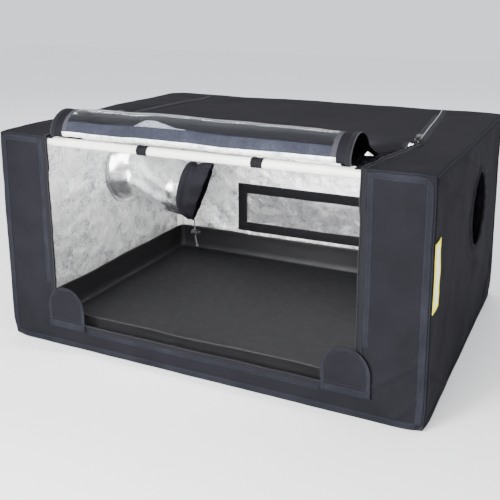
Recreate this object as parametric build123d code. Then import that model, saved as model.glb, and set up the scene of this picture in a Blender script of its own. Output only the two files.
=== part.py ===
"""Fabric enclosure tent, 800 x 600 x 400 mm, with its front door unzipped and rolled up.

Frame: millimetres, +Z up, front at -Y, origin at the middle of the base.
Each sub-part is one node, written as parts/NODE.step.
"""
from build123d import *
import math
import os

os.makedirs("parts", exist_ok=True)

# ---- driving dimensions ---------------------------------------------------------------------
WIDTH, DEPTH, HEIGHT = 800.0, 600.0, 400.0
CLOTH = 1.5                 # coated fabric and its foil lining together
TUBE_OD, TUBE_BORE = 16.0, 13.8
TUBE_INSET = 11.5           # outer faces of the tent to the tube axes
CORNER_BODY = 18.0          # cube of a three-way connector
SPIGOT_OD, SPIGOT_LENGTH = 13.6, 25.0

DOOR_HALF = 290.0           # half the width between the two door zips at the front
ZIP_SLIDER_X, ZIP_REAR_X = 316.0, 276.0   # the roof zips spread to the sliders, then close in
SILL_TOP = 51.0
HINGE_Y = -84.0             # where the roof zips stop and the loose flap begins
FLAP_GAP = 0.3
FLAP_NECK_HALF, FLAP_NECK_LENGTH = 303.0, 42.0
ROLL_HALF = 275.0
FILM = 0.8

TAPE_WIDTH, TAPE_THICK = 8.0, 1.2
SLIDER_LENGTH, SLIDER_WIDTH, SLIDER_PLATE = 16.0, 11.0, 2.5
SLIDER_RUN = 0.3            # clearance between slider and tape
PIN_R, PIN_HOLE_R, EYE_R = 0.8, 0.88, 2.2
PULL_LENGTH, PULL_WIDTH, PULL_THICK = 30.0, 9.0, 1.5

TAB_LEFT, TAB_RIGHT = (-306.0, -225.0), (234.0, 316.0)
TAB_BOTTOM, TAB_TOP = 38.0, 118.0

STRAP_INNER_R, STRAP_OUTER_R, STRAP_WIDTH = 8.3, 9.6, 20.0
STRAP_X = {"left": -92.0, "right": 120.0}

PORT_Y, PORT_Z = 78.0, 252.0
PORT_R, SLEEVE_WALL, COLLAR_LENGTH = 70.0, 1.5, 30.0
PORT_HOLE_R = PORT_R + SLEEVE_WALL + 0.3

CORD_R = 1.5
CORD_X = -218.0
LOCK_R, LOCK_HALF, LOCK_Z, LOCK_HOLE_R = 5.5, 7.0, 119.0, 2.3
PLUNGER_R, PLUNGER_BORE_R, BUTTON_R = 3.0, 3.08, 4.2
PLUNGER_TRAVEL = 2.7
KNOT_R = 3.2

VENT_HALF_WIDTH, VENT_BOTTOM, VENT_TOP = 196.0, 86.0, 160.0
VENT_TAPE = 24.0
COVER_HALF_WIDTH, COVER_BOTTOM, COVER_TOP = 225.0, 57.0, 187.0

TRAY_HALF_X, TRAY_HALF_Y, TRAY_HEIGHT, TRAY_WALL = 379.0, 279.0, 60.0, 2.0
TRAY_Z = CLOTH + 0.3

LABEL_THICK = 0.5

# ---- worked-out dimensions ------------------------------------------------------------------
HALF_W, HALF_D = WIDTH / 2, DEPTH / 2
ROOF = HEIGHT - CLOTH       # underside of the roof cloth
AXIS_X, AXIS_Y = HALF_W - TUBE_INSET, HALF_D - TUBE_INSET
AXIS_LOW, AXIS_HIGH = TUBE_INSET, HEIGHT - TUBE_INSET
PULL_AXIS_Z = TAPE_THICK + SLIDER_RUN + SLIDER_PLATE + EYE_R + 0.3   # above the tape's face


def block(x0, x1, y0, y1, z0, z1):
    """A box between two corners."""
    return Pos((x0 + x1) / 2, (y0 + y1) / 2, (z0 + z1) / 2) * Box(x1 - x0, y1 - y0, z1 - z0)


def plate(points, z0, z1):
    """A flat plate with a polygon outline in plan."""
    return Pos(0, 0, z0) * extrude(make_face(Polyline(*points, close=True)), z1 - z0)


def zip_x(y):
    """Half the width between the roof zips at depth y."""
    if y < HINGE_Y:
        share = (y + HALF_D) / (HINGE_Y + HALF_D)
        return DOOR_HALF + share * (ZIP_SLIDER_X - DOOR_HALF)
    share = (y - HINGE_Y) / (HALF_D - HINGE_Y)
    return ZIP_SLIDER_X + share * (ZIP_REAR_X - ZIP_SLIDER_X)


def along_x(radius, x0, x1, y, z):
    """A cylinder whose axis is along X."""
    return Pos((x0 + x1) / 2, y, z) * Rot(0, 90, 0) * Cylinder(radius, x1 - x0)


def mirrored(shape):
    """The same shape on the other side of the tent."""
    return mirror(shape, about=Plane.YZ)


# ---- frame ----------------------------------------------------------------------------------
def tube(length):
    """A frame tube along Z, centred on the origin."""
    return Cylinder(TUBE_OD / 2, length) - Cylinder(TUBE_BORE / 2, length + 2)


def frame_tubes():
    """Twelve tubes, each butting on the connector bodies at its two ends."""
    spans = {"x": 2 * AXIS_X, "y": 2 * AXIS_Y, "z": AXIS_HIGH - AXIS_LOW}
    shape = {axis: tube(span - CORNER_BODY) for axis, span in spans.items()}
    tubes = {}
    for level, z in (("bottom", AXIS_LOW), ("top", AXIS_HIGH)):
        for side, y in (("front", -AXIS_Y), ("rear", AXIS_Y)):
            tubes[f"{level}_{side}_tube"] = Pos(0, y, z) * Rot(0, 90, 0) * shape["x"]
        for side, x in (("left", -AXIS_X), ("right", AXIS_X)):
            tubes[f"{level}_{side}_tube"] = Pos(x, 0, z) * Rot(90, 0, 0) * shape["y"]
    for depth, y in (("front", -AXIS_Y), ("rear", AXIS_Y)):
        for side, x in (("left", -AXIS_X), ("right", AXIS_X)):
            tubes[f"{depth}_{side}_post"] = Pos(x, y, HEIGHT / 2) * shape["z"]
    return tubes


def corner_connector():
    """A three-way connector whose spigots point along +X, +Y and +Z."""
    body = Box(CORNER_BODY, CORNER_BODY, CORNER_BODY)
    body = fillet(body.edges(), 3)
    reach = CORNER_BODY / 2 + SPIGOT_LENGTH
    spigot = Pos(0, 0, reach / 2) * Cylinder(SPIGOT_OD / 2, reach)
    spigot = chamfer(spigot.edges().sort_by(Axis.Z)[-1], 1)
    return body + spigot + Rot(0, 90, 0) * spigot + Rot(-90, 0, 0) * spigot


def corner_connectors():
    """Eight copies of the connector, turned so that each looks into the tent."""
    shape = corner_connector()
    connectors = {}
    for level, z, sign_z in (("bottom", AXIS_LOW, 1), ("top", AXIS_HIGH, -1)):
        for depth, sign_y in (("front", 1), ("rear", -1)):
            for side, sign_x in (("left", 1), ("right", -1)):
                piece = shape
                if sign_x < 0:
                    piece = mirror(piece, about=Plane.YZ)
                if sign_y < 0:
                    piece = mirror(piece, about=Plane.XZ)
                if sign_z < 0:
                    piece = mirror(piece, about=Plane.XY)
                place = Pos(-sign_x * AXIS_X, -sign_y * AXIS_Y, z)
                connectors[f"{level}_{depth}_{side}_connector"] = place * piece
    return connectors


# ---- cover ----------------------------------------------------------------------------------
def side_wall():
    """The left wall with its round duct port."""
    panel = block(-HALF_W, CLOTH - HALF_W, -HALF_D, HALF_D, CLOTH, ROOF)
    return panel - along_x(PORT_HOLE_R, -HALF_W - 1, CLOTH - HALF_W + 1, PORT_Y, PORT_Z)


def rear_wall():
    """The rear wall with its rectangular vent."""
    panel = block(CLOTH - HALF_W, HALF_W - CLOTH, HALF_D - CLOTH, HALF_D, CLOTH, ROOF)
    vent = block(-VENT_HALF_WIDTH, VENT_HALF_WIDTH, HALF_D - 5, HALF_D + 5, VENT_BOTTOM, VENT_TOP)
    return panel - vent


def front_panel():
    """Two jambs joined by the sill, sewn as one piece."""
    y0, y1 = -HALF_D, CLOTH - HALF_D
    panel = block(CLOTH - HALF_W, HALF_W - CLOTH, y0, y1, CLOTH, ROOF)
    return panel - block(-DOOR_HALF, DOOR_HALF, y0 - 5, y1 + 5, SILL_TOP, HEIGHT)


def cover_panels():
    """The sewn cover, panel by panel, meeting face to face."""
    left = side_wall()
    strip = plate([(DOOR_HALF, -HALF_D), (HALF_W, -HALF_D), (HALF_W, HALF_D),
                   (ZIP_REAR_X, HALF_D), (ZIP_SLIDER_X, HINGE_Y)], ROOF, HEIGHT)
    centre = plate([(-ZIP_SLIDER_X, HINGE_Y), (ZIP_SLIDER_X, HINGE_Y),
                    (ZIP_REAR_X, HALF_D), (-ZIP_REAR_X, HALF_D)], ROOF, HEIGHT)
    return {
        "floor_panel": block(-HALF_W, HALF_W, -HALF_D, HALF_D, 0, CLOTH),
        "left_wall": left,
        "right_wall": mirrored(left),
        "rear_wall": rear_wall(),
        "front_panel": front_panel(),
        "roof_left_strip": mirrored(strip),
        "roof_right_strip": strip,
        "roof_rear_panel": centre,
    }


# ---- door -----------------------------------------------------------------------------------
def door_flap():
    """The loose front of the roof, narrowed beside the zip sliders so that it folds past them."""
    neck_y = HINGE_Y - FLAP_NECK_LENGTH
    edge, back = DOOR_HALF - FLAP_GAP, zip_x(neck_y) - FLAP_GAP
    wide = plate([(-edge, -HALF_D), (edge, -HALF_D), (back, neck_y), (-back, neck_y)], ROOF, HEIGHT)
    neck = block(-FLAP_NECK_HALF, FLAP_NECK_HALF, neck_y, HINGE_Y - FLAP_GAP, ROOF, HEIGHT)
    return wide + neck


def roll_profile(points):
    """A closed YZ outline: a smooth back over a straight underside."""
    top = Spline([(y, z) for y, z in points])
    base = Line(points[-1], points[0])
    return Plane.YZ * make_face([top, base])


# Outline of the rolled door from its front foot over its top to where it dies into the roof.
ROLL_POINTS = [(-299.0, HEIGHT), (-302.0, 416.0), (-290.0, 432.0), (-266.0, 444.0),
               (-240.0, 439.0), (-212.0, 429.0), (-168.0, HEIGHT)]
# The clear window lies on the roll from its front face to its crest.
WINDOW_START, WINDOW_END = 414.0, -225.0


def door_roll():
    """The rolled-up door panel, one solid along the front edge of the roof."""
    return Pos(-ROLL_HALF, 0, 0) * extrude(roll_profile(ROLL_POINTS), 2 * ROLL_HALF)


def door_window(roll):
    """The clear film on the outside of the roll, between the two fabric borders."""
    half = ROLL_HALF - 22
    thicker = [(y + FILM * (y > -266), z + FILM) for y, z in ROLL_POINTS]
    thicker[0] = (ROLL_POINTS[0][0] - FILM, HEIGHT)
    thicker[1] = (ROLL_POINTS[1][0] - FILM, ROLL_POINTS[1][1])
    outer = Pos(-half, 0, 0) * extrude(roll_profile(thicker), 2 * half)
    keep = block(-half, half, -HALF_D - 20, WINDOW_END, WINDOW_START, HEIGHT + 80)
    return (outer & keep) - roll


# ---- zips -----------------------------------------------------------------------------------
def side_zip_tape():
    """Right zip: up the jamb and along the roof, whole behind the slider and one half before it."""
    half, top = TAPE_WIDTH / 2, HEIGHT + TAPE_THICK
    end = HALF_D - TUBE_INSET
    jamb = block(DOOR_HALF, DOOR_HALF + half, -HALF_D - TAPE_THICK, -HALF_D, SILL_TOP, top)
    front = plate([(DOOR_HALF, -HALF_D), (DOOR_HALF + half, -HALF_D),
                   (ZIP_SLIDER_X + half, HINGE_Y), (ZIP_SLIDER_X, HINGE_Y)], HEIGHT, top)
    rear = plate([(ZIP_SLIDER_X - half, HINGE_Y), (ZIP_SLIDER_X + half, HINGE_Y),
                  (zip_x(end) + half, end), (zip_x(end) - half, end)], HEIGHT, top)
    return jamb + front + rear


def sill_zip_tape():
    """The zip half sewn along the top of the sill."""
    reach = DOOR_HALF - 0.5
    low = SILL_TOP - TAPE_WIDTH / 2
    return block(-reach, reach, -HALF_D - TAPE_THICK, -HALF_D, low, SILL_TOP)


def door_zip_tape():
    """The two zip halves on the loose flap."""
    half, y1 = TAPE_WIDTH / 2, HINGE_Y - FLAP_NECK_LENGTH
    right = plate([(DOOR_HALF - half, -HALF_D), (DOOR_HALF - FLAP_GAP, -HALF_D),
                   (zip_x(y1) - FLAP_GAP, y1), (zip_x(y1) - half, y1)], HEIGHT, HEIGHT + TAPE_THICK)
    return Compound([mirrored(right), right])


def zip_slider():
    """A slider over the tape at the origin: plate, side flanges, two lugs and their pin."""
    half_w, half_l = SLIDER_WIDTH / 2, SLIDER_LENGTH / 2
    under = TAPE_THICK + SLIDER_RUN
    top = under + SLIDER_PLATE
    plate = block(-half_w, half_w, -half_l, half_l, under, top)
    plate = fillet(plate.edges().filter_by(Axis.Z), 3)
    gap = TAPE_WIDTH / 2 + SLIDER_RUN
    flange = block(gap, half_w, -half_l + 3, half_l - 3, SLIDER_RUN, under)
    lug = block(1.8, 3.0, -2.2, 2.2, top, top + 4.5)
    body = plate + flange + mirrored(flange) + lug + mirrored(lug)
    return body + along_x(PIN_R, -3, 3, 0, PULL_AXIS_Z)


def zip_pull():
    """The pull tab on the slider's pin, lying back along the zip."""
    eye = along_x(EYE_R, -1.5, 1.5, 0, PULL_AXIS_Z)
    z0 = PULL_AXIS_Z - PULL_THICK / 2
    neck = block(-1.5, 1.5, 0, 6, z0, z0 + PULL_THICK)
    blade = block(-PULL_WIDTH / 2, PULL_WIDTH / 2, 5, PULL_LENGTH, z0, z0 + PULL_THICK)
    blade = fillet(blade.edges().filter_by(Axis.Z), 2)
    return eye + neck + blade - along_x(PIN_HOLE_R, -2, 2, 0, PULL_AXIS_Z)


# ---- corner tabs and pole straps ------------------------------------------------------------
def corner_tab(x0, x1):
    """A tab with a half-round top, sewn to the sill along its lower edge."""
    outline = Rectangle(x1 - x0, TAB_TOP - TAB_BOTTOM)
    outline = fillet(outline.vertices().group_by(Axis.Y)[-1], (x1 - x0) / 2 - 0.5)
    face = Plane.XZ * outline
    back = -HALF_D - TAPE_THICK - 0.3
    return Pos((x0 + x1) / 2, back, (TAB_BOTTOM + TAB_TOP) / 2) * extrude(face, CLOTH)


def pole_strap(x):
    """A hook-and-loop strap wrapped round the top front tube."""
    half = STRAP_WIDTH / 2
    ring = along_x(STRAP_OUTER_R, x - half, x + half, -AXIS_Y, AXIS_HIGH)
    return ring - along_x(STRAP_INNER_R, x - half - 1, x + half + 1, -AXIS_Y, AXIS_HIGH)


# ---- duct sleeves ---------------------------------------------------------------------------
# Sections of the left sleeve from the wall inwards: centre x and z, lean of the section's top
# towards the middle of the tent in degrees, half height and half width.
SLEEVE_SECTIONS = [
    (COLLAR_LENGTH - HALF_W, PORT_Z, 0.0, PORT_R, PORT_R),
    (-300.0, 233.0, 5.0, 66.0, 56.0),
    (-232.5, 216.0, 9.8, 60.5, 40.0),
]
CUFF_SECTIONS = [SLEEVE_SECTIONS[-1], (-191.5, 216.0, 21.6, 70.5, 12.0)]


def sleeve_skin(sections):
    """A thin skin ruled through the sections."""
    def loft_at(offset):
        wires = []
        for x, z, lean, half_height, half_width in sections:
            tilt = math.radians(lean)
            across = (math.cos(tilt), 0, -math.sin(tilt))
            plane = Plane(origin=(x, PORT_Y, z), x_dir=(0, 1, 0), z_dir=across)
            wires.append(plane * Ellipse(half_width + offset, half_height + offset))
        return loft(wires, ruled=True)
    return loft_at(SLEEVE_WALL) - loft_at(0)


def duct_sleeve():
    """The left sleeve: a straight round collar through the wall, then the drooping skin."""
    x1 = COLLAR_LENGTH - HALF_W
    collar = along_x(PORT_R + SLEEVE_WALL, -HALF_W, x1, PORT_Y, PORT_Z)
    collar -= along_x(PORT_R, -HALF_W - 1, x1 + 1, PORT_Y, PORT_Z)
    return collar + sleeve_skin(SLEEVE_SECTIONS)


# ---- drawcord and cord lock -----------------------------------------------------------------
# The cord comes out of the hem at the low corner of the sleeve's mouth and hangs.
CORD_POINTS = [(CORD_X, PORT_Y, 150.0), (CORD_X, PORT_Y, 109.0), (-213.5, PORT_Y + 1.0, 91.0)]


def corner_radii(points):
    """The largest arc that each corner's two runs allow."""
    radii = []
    for a, b, c in zip(points, points[1:], points[2:]):
        before, after = Vector(*b) - Vector(*a), Vector(*c) - Vector(*b)
        half_turn = math.radians(before.get_angle(after)) / 2
        radii.append(0.45 * min(before.length, after.length) / math.tan(half_turn))
    return radii


def drawcord():
    """The hanging tail of the drawcord."""
    radii = corner_radii(CORD_POINTS)
    path = FilletPolyline(*CORD_POINTS, radius=radii)
    section = Plane(origin=CORD_POINTS[0], z_dir=(0, 0, -1)) * Circle(CORD_R)
    cord = sweep(section, path=path)
    expected = math.pi * CORD_R ** 2 * path.length
    print(f"drawcord: length {path.length:.1f}, radii {[round(r, 1) for r in radii]}, "
          f"volume {cord.volume:.1f} for {expected:.1f}")
    return cord


def cord_knot():
    """The knot that closes the cord's end."""
    last, before = Vector(*CORD_POINTS[-1]), Vector(*CORD_POINTS[-2])
    along = (last - before).normalized()
    centre = last + along * (KNOT_R - 0.35)
    ball = Pos(*centre) * Sphere(KNOT_R)
    cut = Plane(origin=last, z_dir=along) * Pos(0, 0, -10) * Cylinder(10, 20)
    return ball - cut


def cord_lock():
    """A barrel with a cross hole for the cord and a bore for the spring-loaded plunger."""
    body = along_x(LOCK_R, CORD_X - LOCK_HALF, CORD_X + LOCK_HALF, PORT_Y, LOCK_Z)
    body = fillet(body.edges().filter_by(GeomType.CIRCLE), 1.2)
    cord_hole = Pos(CORD_X, PORT_Y, LOCK_Z) * Cylinder(LOCK_HOLE_R, 4 * LOCK_R)
    bore = along_x(PLUNGER_BORE_R, CORD_X, CORD_X + LOCK_HALF + 1, PORT_Y, LOCK_Z)
    return body - cord_hole - bore


def cord_lock_plunger():
    """The plunger and its button, pressed towards -X."""
    tip = CORD_X + LOCK_HOLE_R + PLUNGER_TRAVEL + 0.3
    head = CORD_X + LOCK_HALF + PLUNGER_TRAVEL + 0.3
    rod = along_x(PLUNGER_R, tip, head, PORT_Y, LOCK_Z)
    button = along_x(BUTTON_R, head, head + 4, PORT_Y, LOCK_Z)
    button = fillet(button.edges().sort_by(Axis.X)[-1], 1.2)
    return rod + button


# ---- rear vent ------------------------------------------------------------------------------
def vent_frame():
    """The hook-and-loop tape frame on the inside of the rear wall."""
    y0, y1 = HALF_D - CLOTH - 1.6, HALF_D - CLOTH
    w, low, high = VENT_HALF_WIDTH, VENT_BOTTOM, VENT_TOP
    t = VENT_TAPE
    return block(-w - t, w + t, y0, y1, low - t, high + t) - block(-w, w, y0 - 1, y1 + 1, low, high)


def vent_mesh():
    """The insect mesh that fills the vent."""
    w = VENT_HALF_WIDTH
    y1 = HALF_D - CLOTH
    return block(-w, w, y1 - 0.8, y1, VENT_BOTTOM, VENT_TOP)


def vent_cover():
    """The outer cover, sewn to the rear wall along its top edge."""
    y0 = HALF_D + FLAP_GAP
    w = COVER_HALF_WIDTH
    cover = block(-w, w, y0, y0 + CLOTH, COVER_BOTTOM, COVER_TOP)
    low_corners = cover.edges().filter_by(Axis.Y).group_by(Axis.Z)[0]
    return fillet(low_corners, 18)


# ---- tray and label -------------------------------------------------------------------------
def tray():
    """The removable waterproof tray inside the frame's lower tubes."""
    x, y = TRAY_HALF_X, TRAY_HALF_Y
    outer = block(-x, x, -y, y, TRAY_Z, TRAY_Z + TRAY_HEIGHT)
    outer = fillet(outer.edges().filter_by(Axis.Z), 12)
    x, y = x - TRAY_WALL, y - TRAY_WALL
    inner = block(-x, x, -y, y, TRAY_Z + TRAY_WALL, TRAY_Z + TRAY_HEIGHT + 5)
    inner = fillet(inner.edges().filter_by(Axis.Z), 12 - TRAY_WALL)
    return outer - inner


def label():
    """The blank label sewn to the front edge of the right wall."""
    return block(HALF_W, HALF_W + LABEL_THICK, -HALF_D, -255, 182, 302)


# ---- the whole tent -------------------------------------------------------------------------
def build():
    nodes = {}
    nodes.update(frame_tubes())
    nodes.update(corner_connectors())
    nodes.update(cover_panels())

    roll = door_roll()
    nodes["door_flap"] = door_flap()
    nodes["door_roll"] = roll
    nodes["door_window"] = door_window(roll)
    nodes["sill_zip_tape"] = sill_zip_tape()
    nodes["door_zip_tape"] = door_zip_tape()
    nodes["left_corner_tab"] = corner_tab(*TAB_LEFT)
    nodes["right_corner_tab"] = corner_tab(*TAB_RIGHT)
    for side, x in STRAP_X.items():
        nodes[f"{side}_pole_strap"] = pole_strap(x)

    slider_y = HINGE_Y + 2 + SLIDER_LENGTH / 2
    zip_turn = math.degrees(math.atan2(ZIP_SLIDER_X - ZIP_REAR_X, HALF_D - HINGE_Y))
    slider_place = Pos(zip_x(slider_y), slider_y, HEIGHT) * Rot(0, 0, zip_turn)
    left_pieces = {
        "zip_tape": mirrored(side_zip_tape()),
        "zip_slider": mirrored(slider_place * zip_slider()),
        "zip_pull": mirrored(slider_place * zip_pull()),
        "duct_sleeve": duct_sleeve(),
        "sleeve_cuff": sleeve_skin(CUFF_SECTIONS),
        "drawcord": drawcord(),
        "drawcord_knot": cord_knot(),
        "cord_lock": cord_lock(),
        "cord_lock_plunger": cord_lock_plunger(),
    }
    for name, piece in left_pieces.items():
        nodes[f"left_{name}"] = piece
        nodes[f"right_{name}"] = mirrored(piece)

    nodes["vent_frame"] = vent_frame()
    nodes["vent_mesh"] = vent_mesh()
    nodes["vent_cover"] = vent_cover()
    nodes["tray"] = tray()
    nodes["label"] = label()
    return nodes


for node, shape in build().items():
    export_step(shape, f"parts/{node}.step")
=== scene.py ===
"""Looks of the fabric enclosure tent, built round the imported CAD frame.

Shapes are worked out in millimetres and written to the meshes in metres.
"""
import math

import bpy
import numpy as np
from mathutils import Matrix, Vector, noise


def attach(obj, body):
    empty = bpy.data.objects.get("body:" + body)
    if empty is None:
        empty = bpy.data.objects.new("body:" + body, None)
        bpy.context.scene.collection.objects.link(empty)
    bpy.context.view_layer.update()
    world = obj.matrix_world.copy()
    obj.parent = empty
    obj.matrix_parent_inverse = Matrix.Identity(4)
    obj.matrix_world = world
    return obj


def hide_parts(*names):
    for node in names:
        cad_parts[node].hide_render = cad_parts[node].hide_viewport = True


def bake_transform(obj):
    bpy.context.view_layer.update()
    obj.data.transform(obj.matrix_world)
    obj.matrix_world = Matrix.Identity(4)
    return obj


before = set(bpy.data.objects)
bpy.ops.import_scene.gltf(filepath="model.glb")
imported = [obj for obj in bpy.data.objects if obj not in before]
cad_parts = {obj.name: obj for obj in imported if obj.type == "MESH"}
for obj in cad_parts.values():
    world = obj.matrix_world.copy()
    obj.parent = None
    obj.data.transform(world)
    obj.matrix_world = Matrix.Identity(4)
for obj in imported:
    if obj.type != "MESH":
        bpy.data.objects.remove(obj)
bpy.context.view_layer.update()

MM = 0.001

# ---- main sizes, in millimetres, the same as the CAD's ----------------------------------------
HALF_W, HALF_D, HEIGHT = 400.0, 300.0, 400.0
CLOTH = 1.5
EDGE_R = 5.0                 # rounding of the sewn edges
DOOR_HALF, SILL_TOP = 290.0, 51.0
HINGE_Y = -84.0              # where the roof zips stop and the loose flap begins
ZIP_SLIDER_X, ZIP_REAR_X = 316.0, 276.0
LIP = 50.0                   # loose edge of a roof strip, inside the zip line
PORT_Y, PORT_Z, PORT_R = 78.0, 252.0, 70.0
VENT_HALF, VENT_LOW, VENT_HIGH = 196.0, 86.0, 160.0
COVER_HALF, COVER_LOW, COVER_HIGH, COVER_CUT = 225.0, 57.0, 187.0, 12.0
COVER_LIFT = 1.5             # the vent cover's gap from the rear wall
TUBE_Y, TUBE_Z = -288.5, 388.5
CORD_ROUTE = [(-218.0, 78.0, 150.0), (-218.0, 78.0, 109.0), (-213.5, 79.0, 91.0)]


# ---- materials --------------------------------------------------------------------------------
class Shader:
    """A Principled material with small helpers for its procedural detail."""

    def __init__(self, name, **sockets):
        self.material = bpy.data.materials.new(name)
        self.material.use_nodes = True
        self.nodes = self.material.node_tree.nodes
        self.links = self.material.node_tree.links
        self.bsdf = self.nodes["Principled BSDF"]
        for key, value in sockets.items():
            if key == "color":
                value = (*value, 1.0)
                key = "Base Color"
            self.bsdf.inputs[key.replace("_", " ")].default_value = value
        self.place = self.nodes.new("ShaderNodeTexCoord").outputs["Object"]
        self.bump_out = None

    def texture(self, kind, **settings):
        node = self.nodes.new("ShaderNodeTex" + kind)
        for key, value in settings.items():
            if key in node.inputs:
                node.inputs[key].default_value = value
            else:
                setattr(node, key, value)
        self.links.new(self.place, node.inputs["Vector"])
        return node.outputs["Distance" if kind == "Voronoi" else "Fac"]

    def math(self, operation, a, b=0.0):
        node = self.nodes.new("ShaderNodeMath")
        node.operation = operation
        for socket, value in zip(node.inputs, (a, b)):
            if isinstance(value, (int, float)):
                socket.default_value = value
            else:
                self.links.new(value, socket)
        return node.outputs[0]

    def ramp(self, factor, stops):
        """A colour ramp through (position, colour) stops."""
        node = self.nodes.new("ShaderNodeValToRGB")
        elements = node.color_ramp.elements
        while len(elements) < len(stops):
            elements.new(0.5)
        for element, (position, color) in zip(elements, stops):
            element.position = position
            element.color = (*color, 1.0)
        self.links.new(factor, node.inputs["Fac"])
        return node.outputs["Color"]

    def color(self, output):
        self.links.new(output, self.bsdf.inputs["Base Color"])

    def roughness(self, factor, low, high):
        node = self.nodes.new("ShaderNodeMapRange")
        node.inputs["To Min"].default_value = low
        node.inputs["To Max"].default_value = high
        self.links.new(factor, node.inputs["Value"])
        self.links.new(node.outputs["Result"], self.bsdf.inputs["Roughness"])

    def bump(self, height, distance, strength=1.0):
        node = self.nodes.new("ShaderNodeBump")
        node.inputs["Strength"].default_value = strength
        node.inputs["Distance"].default_value = distance
        self.links.new(height, node.inputs["Height"])
        if self.bump_out is not None:
            self.links.new(self.bump_out, node.inputs["Normal"])
        self.bump_out = node.outputs["Normal"]
        self.links.new(self.bump_out, self.bsdf.inputs["Normal"])

    def weave(self, period):
        """Threads along the three axes, period in metres: a woven grid on any flat panel."""
        scale = 2 * math.pi / (20 * period)
        total = None
        for axis in "XYZ":
            wave = self.texture("Wave", Scale=scale, bands_direction=axis)
            total = wave if total is None else self.math("ADD", total, wave)
        return self.math("DIVIDE", total, 3.0)


def shade(color, factor):
    """The colour made darker or lighter."""
    return tuple(c * factor for c in color)


def oxford(name, color, light=1.35, dark=0.72):
    """Coated Oxford cloth: basket weave, slight mottling, scuffed lighter patches."""
    s = Shader(name, color=color, Roughness=0.7, Specular_IOR_Level=0.012)
    cloud = s.texture("Noise", Scale=14.0, Detail=6.0, Roughness=0.65)
    grain = s.texture("Noise", Scale=420.0, Detail=3.0, Roughness=0.7)
    mixed = s.math("ADD", s.math("MULTIPLY", cloud, 0.55), s.math("MULTIPLY", grain, 0.45))
    s.color(s.ramp(mixed, [(0.3, shade(color, dark)), (0.5, color), (0.72, shade(color, light))]))
    s.roughness(grain, 0.5, 0.75)
    s.bump(s.texture("Noise", Scale=28.0, Detail=4.0), 0.0012, 0.5)
    s.bump(s.weave(0.0011), 0.00012, 0.9)
    return s.material


def silver_lining(name, low, high, crinkle=1.0, metal=0.66, polish=0.34):
    """Crinkled foil lining: soft blotches over a fine embossed diagonal grain."""
    s = Shader(name, color=high, Metallic=metal, Roughness=polish)
    blotch = s.texture("Noise", Scale=22.0, Detail=7.0, Roughness=0.62, Distortion=0.6)
    crumple = s.texture("Noise", Scale=130.0, Detail=5.0, Roughness=0.6, Distortion=1.2)
    fine = s.texture("Noise", Scale=330.0, Detail=2.0)
    diagonal = s.texture("Wave", Scale=120.0, bands_direction="DIAGONAL", Distortion=3.0,
                         Detail=2.0)
    mixed = s.math("ADD", s.math("MULTIPLY", blotch, 0.45), s.math("MULTIPLY", crumple, 0.55))
    s.color(s.ramp(mixed, [(0.38, low), (0.53, high)]))
    s.roughness(crumple, polish * 0.6, polish * 1.35)
    folds = s.texture("Voronoi", Scale=34.0, feature="SMOOTH_F1", Smoothness=0.4)
    s.bump(folds, 0.006, 0.55 * crinkle)
    s.bump(blotch, 0.006, 0.7 * crinkle)
    s.bump(crumple, 0.0022, 0.8 * crinkle)
    s.bump(s.math("ADD", diagonal, fine), 0.00035, 0.6)
    return s.material


def moulded(name, color, roughness, grain=0.00005, coat=0.0):
    """Moulded plastic or enamel with a faint spark-eroded grain and rubbed patches."""
    s = Shader(name, color=color, Roughness=roughness, Specular_IOR_Level=0.3, Coat_Weight=coat,
               Coat_Roughness=0.15)
    rub = s.texture("Noise", Scale=60.0, Detail=5.0, Roughness=0.6)
    s.color(s.ramp(rub, [(0.35, shade(color, 0.8)), (0.65, color), (0.85, shade(color, 1.5))]))
    s.roughness(rub, roughness * 0.8, roughness * 1.25)
    s.bump(s.texture("Noise", Scale=1800.0, Detail=2.0), grain, 0.8)
    return s.material


def woven_tape(name, color, period):
    """Narrow woven tape: ribs close together and a little fuzz."""
    s = Shader(name, color=color, Roughness=0.8, Specular_IOR_Level=0.15)
    fuzz = s.texture("Noise", Scale=700.0, Detail=3.0)
    s.color(s.ramp(fuzz, [(0.3, shade(color, 0.7)), (0.7, shade(color, 1.4))]))
    s.bump(s.weave(period), 0.0003, 0.9)
    return s.material


CHARCOAL = (0.0102, 0.0098, 0.0124)
OXFORD = oxford("oxford_charcoal", CHARCOAL)
OXFORD_DARK = oxford("oxford_inside", (0.004, 0.004, 0.005), light=2.2)
SEAM = oxford("oxford_seam", (0.0128, 0.013, 0.0168), light=1.9, dark=0.6)
HEM = oxford("oxford_hem", (0.027, 0.029, 0.04), light=1.9, dark=0.5)
LINING = silver_lining("silver_lining", (0.36, 0.38, 0.4), (1.0, 1.0, 1.0))
LINING_SOFT = silver_lining("silver_sleeve", (0.6, 0.64, 0.69), (1.0, 1.0, 1.0), crinkle=0.28,
                            metal=0.95, polish=0.16)
TAPE = woven_tape("zip_tape_black", (0.006, 0.006, 0.008), 0.0009)
TAPE_GREY = woven_tape("border_tape_grey", (0.035, 0.034, 0.042), 0.0009)
THREAD = woven_tape("sewing_thread", (0.022, 0.0225, 0.03), 0.0004)
THREAD_PALE = woven_tape("sewing_thread_pale", (0.085, 0.085, 0.1), 0.0004)
HOOK = woven_tape("hook_and_loop", (0.004, 0.004, 0.005), 0.0014)
COIL = moulded("zip_coil", (0.012, 0.012, 0.015), 0.45)
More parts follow.
